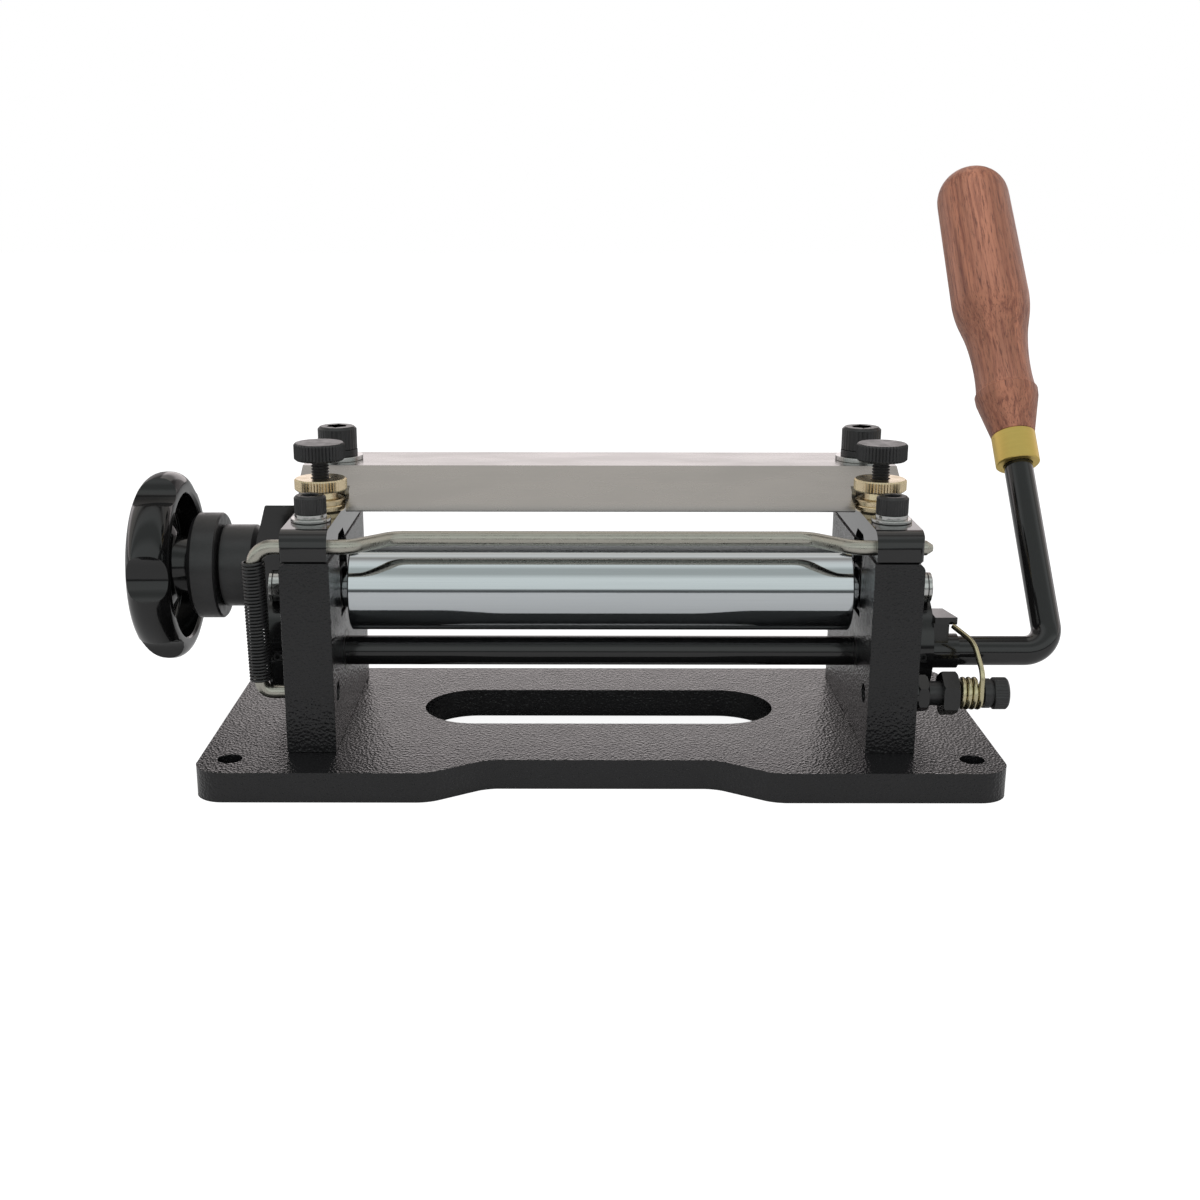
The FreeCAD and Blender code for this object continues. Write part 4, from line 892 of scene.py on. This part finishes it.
class SplitterBlade(bpy.types.Operator):
    """Model the clamped blade with its ground bevel, micro bevel and end notches"""
    bl_idname = "splitter.blade"
    bl_label = "Blade"

    def execute(self, context):
        micro, lip, bevel = mm(sizes().micro_bevel), 1.2, 22.0
        rise = (BLADE_TOP - CAP_TOP - lip) / bevel * micro
        mesh = prism([
            (BLADE_FRONT + lip, CAP_TOP, 0), (BLADE_BACK, CAP_TOP, 0.5), (BLADE_BACK, BLADE_TOP, 0.5),
            (BLADE_FRONT + bevel, BLADE_TOP, 0), (BLADE_FRONT + micro, CAP_TOP + lip + rise, 0),
            (BLADE_FRONT, CAP_TOP + 0.65, 0),
        ], -BLADE_HALF, BLADE_HALF)
        tools = []
        for side in (-1, 1):
            ends = sorted((side * 85.05, side * (BLADE_HALF + 1)))
            tools.append(block((ends[0], BLADE_FRONT - 1, CAP_TOP - 1), (ends[1], 6.0, BLADE_TOP + 1)))
            tools.append(rod((side * NUT_X, NUT_Y, CAP_TOP - 1), UP, 9.2, 14, 64))
            tools.append(rod((side * CLAMP_X, CLAMP_Y, CAP_TOP - 1), UP, 4.4, 14))
        carved(mesh, *tools)
        eased(mesh, 0.18, 14.0)
        finished("splitting_blade", mesh, "frame", "blade_steel", ["blade"], sharp=12.0)
        return {"FINISHED"}


def ring_profile(inner, outer, thick):
    return [(0, inner), (0, outer), (thick, outer), (thick, inner)]


def lock_washer(seat, inner, outer, thick):
    """Split ring with a narrow slanted gap."""
    mesh = lathed(ring_profile(inner, outer, thick), (0, 0, 0), UP, [0.15] * 4, 48, 2, closed=True)
    gap = block((0, -0.45, -thick), (outer + 1, 0.45, thick * 2))
    bmesh.ops.rotate(gap, cent=(0, 0, thick / 2), matrix=Matrix.Rotation(math.radians(25), 3, "X"),
                     verts=gap.verts)
    carved(mesh, gap)
    set_on(mesh, mesh.verts, seat, UP)
    return mesh


def flat_washer(seat, inner, outer, thick):
    return lathed(ring_profile(inner, outer, thick), seat, UP, [0.25] * 4, 56, 3, closed=True)


class SplitterTopScrews(bpy.types.Operator):
    """Model the blade's clamp screws and the cap screws with their washers"""
    bl_idname = "splitter.top_screws"
    bl_label = "Top screws"

    def execute(self, context):
        for name, x, y, level, washer, lock, head, nodes, lock_slot in (
                ("clamp", CLAMP_X, CLAMP_Y, BLADE_TOP, (4.2, 8.8, 1.6), (4.2, 6.9, 2.1),
                 (6.8, 8.0, 0.9, 6.0, 4.4, 4.0, 48.0),
                 ("blade_flat_washers", "blade_lock_washers", "blade_clamp_screws"), "black_oxide"),
                ("cap", PLATE_MID, CAP_SCREW_Y, CAP_TOP, (3.2, 6.5, 1.2), (3.2, 5.2, 1.4),
                 (5.2, 6.0, 0.75, 5.0, 3.2, 3.0, 28.0),
                 ("cap_flat_washers", "cap_lock_washers", "cap_screws"), "zinc")):
            flat = flat_washer((x, y, level), *washer)
            level += washer[2]
            split = lock_washer((x, y, level), *lock)
            level += lock[2]
            screw = socket_head((x, y, level), UP, *head)
            for mesh in (flat, split, screw):
                mirrored(mesh)
            finished(name + "_washers", flat, "frame", "zinc", [nodes[0]])
            finished(name + "_spring_washers", split, "frame", lock_slot, [nodes[1]])
            finished(name + "_screws_on_top", screw, "frame", "black_oxide", [nodes[2]], sharp=28.0)
        return {"FINISHED"}


class SplitterThumbScrews(bpy.types.Operator):
    """Model the thumb screws and their knurled brass nuts"""
    bl_idname = "splitter.thumb_screws"
    bl_label = "Thumb screws"

    def execute(self, context):
        teeth, nut_teeth = sizes().thumb_teeth, sizes().nut_teeth
        crest, root, groove_pitch, thread_end = 2.99, 2.55, 1.0, 23.0
        thread = [(0, 0), (0, 2.4)]
        height = 0.6
        while height < thread_end:
            thread += [(height, crest), (height + 0.15, crest), (height + 0.5, root), (height + 0.65, root)]
            height += groove_pitch
        thread += [(thread_end + 0.4, 2.9), (thread_end + 0.4, 0)]
        for side, sign in (("left", -1), ("right", 1)):
            nut = lathed([(0, 3.05), (0, 7.7), (0.5, 8.0), (1.7, 8.0), (2.0, 7.75), (2.3, 8.0), (3.6, 8.0),
                          (4.0, 7.6), (4.2, 5.6), (6.5, 5.2), (6.7, 8.2), (7.2, 8.75), (10.2, 8.75),
                          (10.7, 8.2), (10.7, 3.3), (10.4, 3.05)],
                         (sign * NUT_X, NUT_Y, CAP_TOP), UP, None, nut_teeth * 2, closed=True,
                         knurl=(7.1, 10.3, nut_teeth, 0.42))
            finished("knurled_nut_" + side, nut, "brass_nut_" + side, "brass", ["brass_nut_" + side],
                     sharp=30.0)
            head = lathed([(0, 0), (0, 7.8), (0.6, 8.5), (5.2, 8.5), (5.8, 7.9), (5.8, 0)],
                          (sign * NUT_X, NUT_Y, 100.3), UP, [0, 0, 0.2, 0.3, 0.3, 0], teeth * 2, 2,
                          knurl=(0.5, 5.3, teeth, 0.5))
            finished("thumb_wheel_" + side, head, "thumb_head_" + side, "black_oxide",
                     ["thumb_head_" + side], sharp=30.0)
            stud = lathed(thread, (sign * NUT_X, NUT_Y, 79.6), UP, None, 28)
            finished("thumb_thread_" + side, stud, "thumb_stud_" + side, "black_oxide",
                     ["thumb_stud_" + side], sharp=50.0, flat_first=False)
        return {"FINISHED"}


# ---------------- roller
class SplitterRoller(bpy.types.Operator):
    """Model the polished roller with its end plugs, axle and rings"""
    bl_idname = "splitter.roller"
    bl_label = "Roller"

    def execute(self, context):
        tube = lathed([(0, 11.5), (0, 14.5), (166.8, 14.5), (166.8, 11.5)], (-83.4, AXLE_Y, AXLE_Z), RIGHT,
                      [0.2, 0.5, 0.5, 0.2], 128, 3, closed=True)
        finished("polished_roller", tube, "roller", "roller_chrome", ["roller_tube"])
        plugs = lathed([(0, 4.05), (0, 11.45), (12.0, 11.45), (12.0, 7.0), (15.1, 7.0), (15.1, 4.05)],
                       (71.4, AXLE_Y, AXLE_Z), RIGHT, [0.2, 0.3, 0.3, 0, 0.3, 0.2], 64, 2, closed=True)
        mirrored(plugs)
        finished("roller_ends", plugs, "roller", "roller_chrome", ["roller_end_plugs"])
        axle = lathed([(0, 0), (0, 3.4), (0.6, 4.0), (222.6, 4.0), (223.2, 3.4), (223.2, 0)],
                      (-111.6, AXLE_Y, AXLE_Z), RIGHT, None, 40)
        finished("axle_rod", axle, "axle", "zinc", ["roller_axle"])
        for name, node, start, profile in (
                ("lift_rings", "follower_rings", 101.85,
                 [(0, 4.05), (0, 5.0), (3.15, 5.0), (3.35, 5.2), (7.75, 5.2), (8.05, 4.9), (8.05, 4.05)]),
                ("axle_clips", "retaining_rings", 109.9,
                 [(0, 4.05), (0, 5.1), (0.15, 5.2), (1.1, 5.2), (1.3, 5.0), (1.3, 4.05)])):
            rings = lathed(profile, (start, AXLE_Y, AXLE_Z), RIGHT, None, 48, closed=True)
            mirrored(rings)
            finished(name, rings, "axle", "zinc", [node])
        finished("sliding_blocks", copied("bearing_blocks", 0.3), "axle", "dark_steel", ["bearing_blocks"])
        return {"FINISHED"}


# ---------------- lever
class SplitterLever(bpy.types.Operator):
    """Model the bent lever bar with its cams, hub and lug"""
    bl_idname = "splitter.lever"
    bl_label = "Lever and cams"

    def execute(self, context):
        bar = bmesh.new()
        start = Vector((-113.6, AXLE_Y, SHAFT_Z))
        end = LEVER_CORNER + lever_upright() * 130.3
        first = circle(bar, start, RIGHT, 5.0, 48)
        last = swept(bar, first, [start, LEVER_CORNER, end], [8.5], 20)
        closed_flat(bar, first)
        closed_flat(bar, last)
        eased(bar, 0.5, 60.0)
        finished("lever_bar", bar, "lever", "gloss_black", ["lever_rod"])
        for side in ("right", "left"):
            cam = copied("cam_" + side, 0.35)
            finished("lift_cam_" + side, cam, "lever", "gloss_black", ["cam_" + side])
        finished("hub_and_lug", copied("lever_hub", 0.3), "lever", "gloss_black", ["lever_hub"])
        refinished("cam_set_screws")
        return {"FINISHED"}


class SplitterGrip(bpy.types.Operator):
    """Model the turned wooden grip and its brass ferrule"""
    bl_idname = "splitter.grip"
    bl_label = "Grip"

    def execute(self, context):
        axis = lever_upright()
        bead, shoulder = mm(sizes().grip_bead), mm(sizes().grip_shoulder)
        ferrule = lathed([(0, 5.2), (0, 7.35), (0.35, 7.7), (11.5, 7.7), (11.7, 7.5), (11.7, 5.2)],
                         LEVER_CORNER + axis * 70.3, axis, [0, 0.1, 0.15, 0.1, 0, 0], 64, 3, closed=True)
        finished("brass_ferrule", ferrule, "lever", "ferrule_brass", ["ferrule"])
        profile = [(71.5, 0), (71.5, 6.45), (82.0, 6.45), (82.0, 7.65), (96.2, bead - 0.15), (98.9, bead),
                   (99.3, bead - 0.6), (113.0, 8.85), (134.0, shoulder + 0.5), (181.6, 13.4), (194.6, 12.9),
                   (194.6, 0)]
        roundings = [0, 0, 0, 0.3, 1.2, 0.4, 0.3, 66.0, 34.0, 60.0, 12.4, 0]
        grip = lathed(profile, LEVER_CORNER, axis, roundings, 72, 14)
        finished("wooden_grip", grip, "lever", "rosewood", ["grip"], sharp=30.0, flat_first=False)
        return {"FINISHED"}


# ---------------- press bar and springs
def spring_line():
    """Top and bottom of the tension spring's axis and the direction between them."""
    top = Vector((-111.45, *JOURNAL))
    bottom = Vector((-111.35, *ANCHOR))
    return top, bottom, (bottom - top).normalized()


class SplitterPressBar(bpy.types.Operator):
    """Model the bent press bar, its tension spring and the anchor wire"""
    bl_idname = "splitter.press_bar"
    bl_label = "Press bar"

    def execute(self, context):
        top, bottom, down = spring_line()
        journal_y, journal_z = JOURNAL
        middle_y, middle_z = journal_y + 14.9, journal_z - 0.4
        points = [top + down * 6.6, top, (-80.5, journal_y, journal_z), (-68.0, middle_y, middle_z),
                  (68.0, middle_y, middle_z), (80.5, journal_y, journal_z), (103.3, journal_y, journal_z)]
        bar = bmesh.new()
        first = circle(bar, points[0], -down, 2.4, 28)
        last = swept(bar, first, points, [6.5, 8.0, 8.0, 8.0, 8.0], 10)
        closed_flat(bar, first)
        tip = drawn_out(bar, last, Vector((2.0, 0, 0)))
        bmesh.ops.scale(bar, vec=(1, 0.45, 0.45), verts=ends_of(tip),
                        space=Matrix.Translation((-105.3, -journal_y, -journal_z)))
        closed_flat(bar, tip)
        finished("bent_press_bar", bar, "press_bar", "nickel_wire", ["press_bar"])

        wire = bmesh.new()
        inside = Vector((-91.35, *ANCHOR))
        first = circle(wire, inside, -RIGHT, 2.25, 24)
        last = swept(wire, first, [inside, bottom, bottom - down * 6.5], [3.5], 8)
        closed_flat(wire, first)
        closed_flat(wire, last)
        finished("anchor_wire", wire, "frame", "nickel_wire", ["spring_anchor"])

        turns, thick = sizes().spring_turns, mm(sizes().spring_wire)
        spring = bmesh.new()
        start, end = 4.3, (bottom - top).length - 3.5
        span = end - start - 2 * thick
        first = circle(spring, (3.8 - thick, 0, 0), BACK, thick, 8)
        last = wound(spring, first, (0, 0, 0), UP, turns, span / turns, 20)
        closed_flat(spring, first)
        closed_flat(spring, last)
        set_on(spring, spring.verts, top + down * (start + thick), down)
        piece = finished("close_wound_spring", spring, None, "black_oxide", ["tension_spring"], sharp=60.0,
                         flat_first=False)
        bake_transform(piece)
        return {"FINISHED"}


class SplitterSpringPost(bpy.types.Operator):
    """Model the post with its nuts and head and the torsion spring that lifts the lever"""
    bl_idname = "splitter.spring_post"
    bl_label = "Spring post"

    def execute(self, context):
        nuts = copied("spring_post_nuts", 0.22, 25.0)
        finished("post_nuts", nuts, "frame", "gloss_black", ["spring_post_nuts"])
        post = socket_head((128.58, *POST), RIGHT, 5.3, 4.9, 0.6, 4.0, 2.6)
        joined(post, lathed([(0, 0), (0, 2.4), (0.6, 3.0), (40.23, 3.0), (40.23, 4.2), (41.23, 4.2),
                             (41.23, 0)], (87.35, *POST), RIGHT, None, 40))
        finished("post_screw", post, "frame", "black_oxide", ["spring_post_screw"], sharp=28.0)

        spring = bmesh.new()
        start_x, mean, wire = 118.1, 4.55, 0.9
        turns, pitch = 3.15, 1.9
        begin = math.radians(180) + FULL_TURN * turns
        centre = Vector((start_x, *POST))
        start = centre + Vector((0, math.cos(begin), math.sin(begin))) * mean
        first = circle(spring, start, Vector((0, math.sin(begin), -math.cos(begin))), wire, 12)
        last = wound(spring, first, centre, -RIGHT, turns, -pitch, 32)
        here = centre + Vector((turns * pitch, -mean, 0))
        tip = Vector((117.8, -15.15, 47.05))
        leg = [here, here + Vector((0, 0.6, 8.0)), tip + Vector((4.9, -9.0, -3.0)), tip]
        last = swept(spring, last, leg, [7.0, 12.0], 10)
        closed_flat(spring, first)
        closed_flat(spring, last)
        finished("lever_return_spring", spring, "frame", "gold_zinc", ["torsion_spring"], sharp=50.0,
                 flat_first=False)
        refinished("spring_post_washer", "spring_post_collar", "spring_post_sleeve")
        return {"FINISHED"}


# ---------------- adjusting knob
class SplitterBracket(bpy.types.Operator):
    """Model the knob's bracket, its sleeve and the threaded spindle"""
    bl_idname = "splitter.bracket"
    bl_label = "Knob bracket"

    def execute(self, context):
        bracket = copied("knob_bracket", 0.6, 40.0, 3)
        finished("bracket_block", bracket, "frame", "gloss_black", ["knob_bracket"])
        refinished("bracket_screws")
        sleeve = lathed([(0, 5.05), (0, 13.0), (5.9, 13.0), (7.4, 14.5), (18.2, 14.5), (18.7, 14.0),
                         (18.7, 5.05)], (-114.0, *KNOB_AXIS), -RIGHT, [0, 0.3, 0, 0.3, 0.2, 0.2, 0], 96, 3,
                        closed=True)
        finished("turned_sleeve", sleeve, "frame", "black_oxide", ["knob_sleeve"])
        spindle = lathed([(0, 0), (0, 2.6), (7.6, 5.0), (44.1, 5.0), (44.1, 0)], (-104.8, *KNOB_AXIS),
                         -RIGHT, [0, 0.3, 0.3, 0, 0], 48, 3)
        finished("tapered_spindle", spindle, "spindle", "zinc", ["knob_spindle"])
        return {"FINISHED"}


class SplitterKnob(bpy.types.Operator):
    """Model the scalloped knob and its collar"""
    bl_idname = "splitter.knob"
    bl_label = "Adjusting knob"

    def execute(self, context):
        collar = lathed([(0, 5.05), (0, 18.1), (0.6, 18.7), (8.4, 18.7), (9.9, 17.2), (9.9, 5.05)],
                        (-133.0, *KNOB_AXIS), -RIGHT, [0, 0.2, 0.2, 0.4, 0.3, 0], 112, 3, closed=True)
        finished("turned_collar", collar, "knob", "black_oxide", ["knob_collar"])

        outer, rim = mm(sizes().knob_radius), 18.4
        profile = [(6.3, 0), (6.3, 5.05), (0, 5.05), (0, 9.0), (6.9, 11.0), (13.4, 25.0), (3.8, 25.4),
                   (3.0, 26.2), (3.0, outer), (rim, outer), (rim, 24.7), (rim - 7.5, 9.8), (rim - 6.6, 9.8),
                   (rim - 6.6, 8.7), (rim - 7.3, 8.7), (rim - 7.3, 0)]
        roundings = [0, 0, 0, 0.4, 1.5, 1.5, 0.8, 0.5, 6.0, 8.3, 0.35, 0.15, 0, 0, 0.6, 0]
        knob = bmesh.new()
        lathe(knob, profile, roundings, 144, 8)
        hollow, bite = 10.5, 4.6
        reach = outer + hollow - bite
        count = sizes().knob_scallops
        tools = []
        for number in range(count):
            turn = FULL_TURN * number / count + math.radians(34.6)
            tools.append(rod((reach * math.cos(turn), reach * math.sin(turn), -1), UP, hollow, 22, 72))
        carved(knob, *tools)
        eased(knob, 0.7, 24.0, 2, lambda edge: all(v.co.xy.length > 27.0 for v in edge.verts))
        set_on(knob, knob.verts, (-142.9, *KNOB_AXIS), -RIGHT)
        finished("scalloped_knob", knob, "knob", "gloss_plastic_black", ["knob"], sharp=30.0)
        return {"FINISHED"}


# ---------------- add-on
OPERATORS = (SplitterStage, SplitterBase, SplitterSidePlates, SplitterCaps, SplitterBlade,
             SplitterTopScrews, SplitterThumbScrews, SplitterRoller, SplitterLever, SplitterGrip,
             SplitterPressBar, SplitterSpringPost, SplitterBracket, SplitterKnob)


class SplitterPanel(bpy.types.Panel):
    """Sizes, colours and the steps that model the splitter"""
    bl_idname = "VIEW3D_PT_splitter"
    bl_label = "Leather Splitter"
    bl_space_type = "VIEW_3D"
    bl_region_type = "UI"
    bl_category = "Splitter"

    def draw(self, context):
        for operator in OPERATORS:
            self.layout.operator(operator.bl_idname)
        for title, group in (("Sizes", sizes()), ("Colours", colours())):
            box = self.layout.box()
            box.label(text=title)
            for name in group.__annotations__:
                box.prop(group, name)


CLASSES = (SplitterSizes, SplitterColours, *OPERATORS, SplitterPanel)


def register():
    for cls in CLASSES:
        bpy.utils.register_class(cls)
    bpy.types.Scene.splitter_sizes = PointerProperty(type=SplitterSizes)
    bpy.types.Scene.splitter_colours = PointerProperty(type=SplitterColours)


def unregister():
    del bpy.types.Scene.splitter_colours
    del bpy.types.Scene.splitter_sizes
    for cls in reversed(CLASSES):
        bpy.utils.unregister_class(cls)


def main():
    register()
    for operator in OPERATORS:
        group, name = operator.bl_idname.split(".")
        getattr(getattr(bpy.ops, group), name)()


if __name__ == "__main__":
    main()
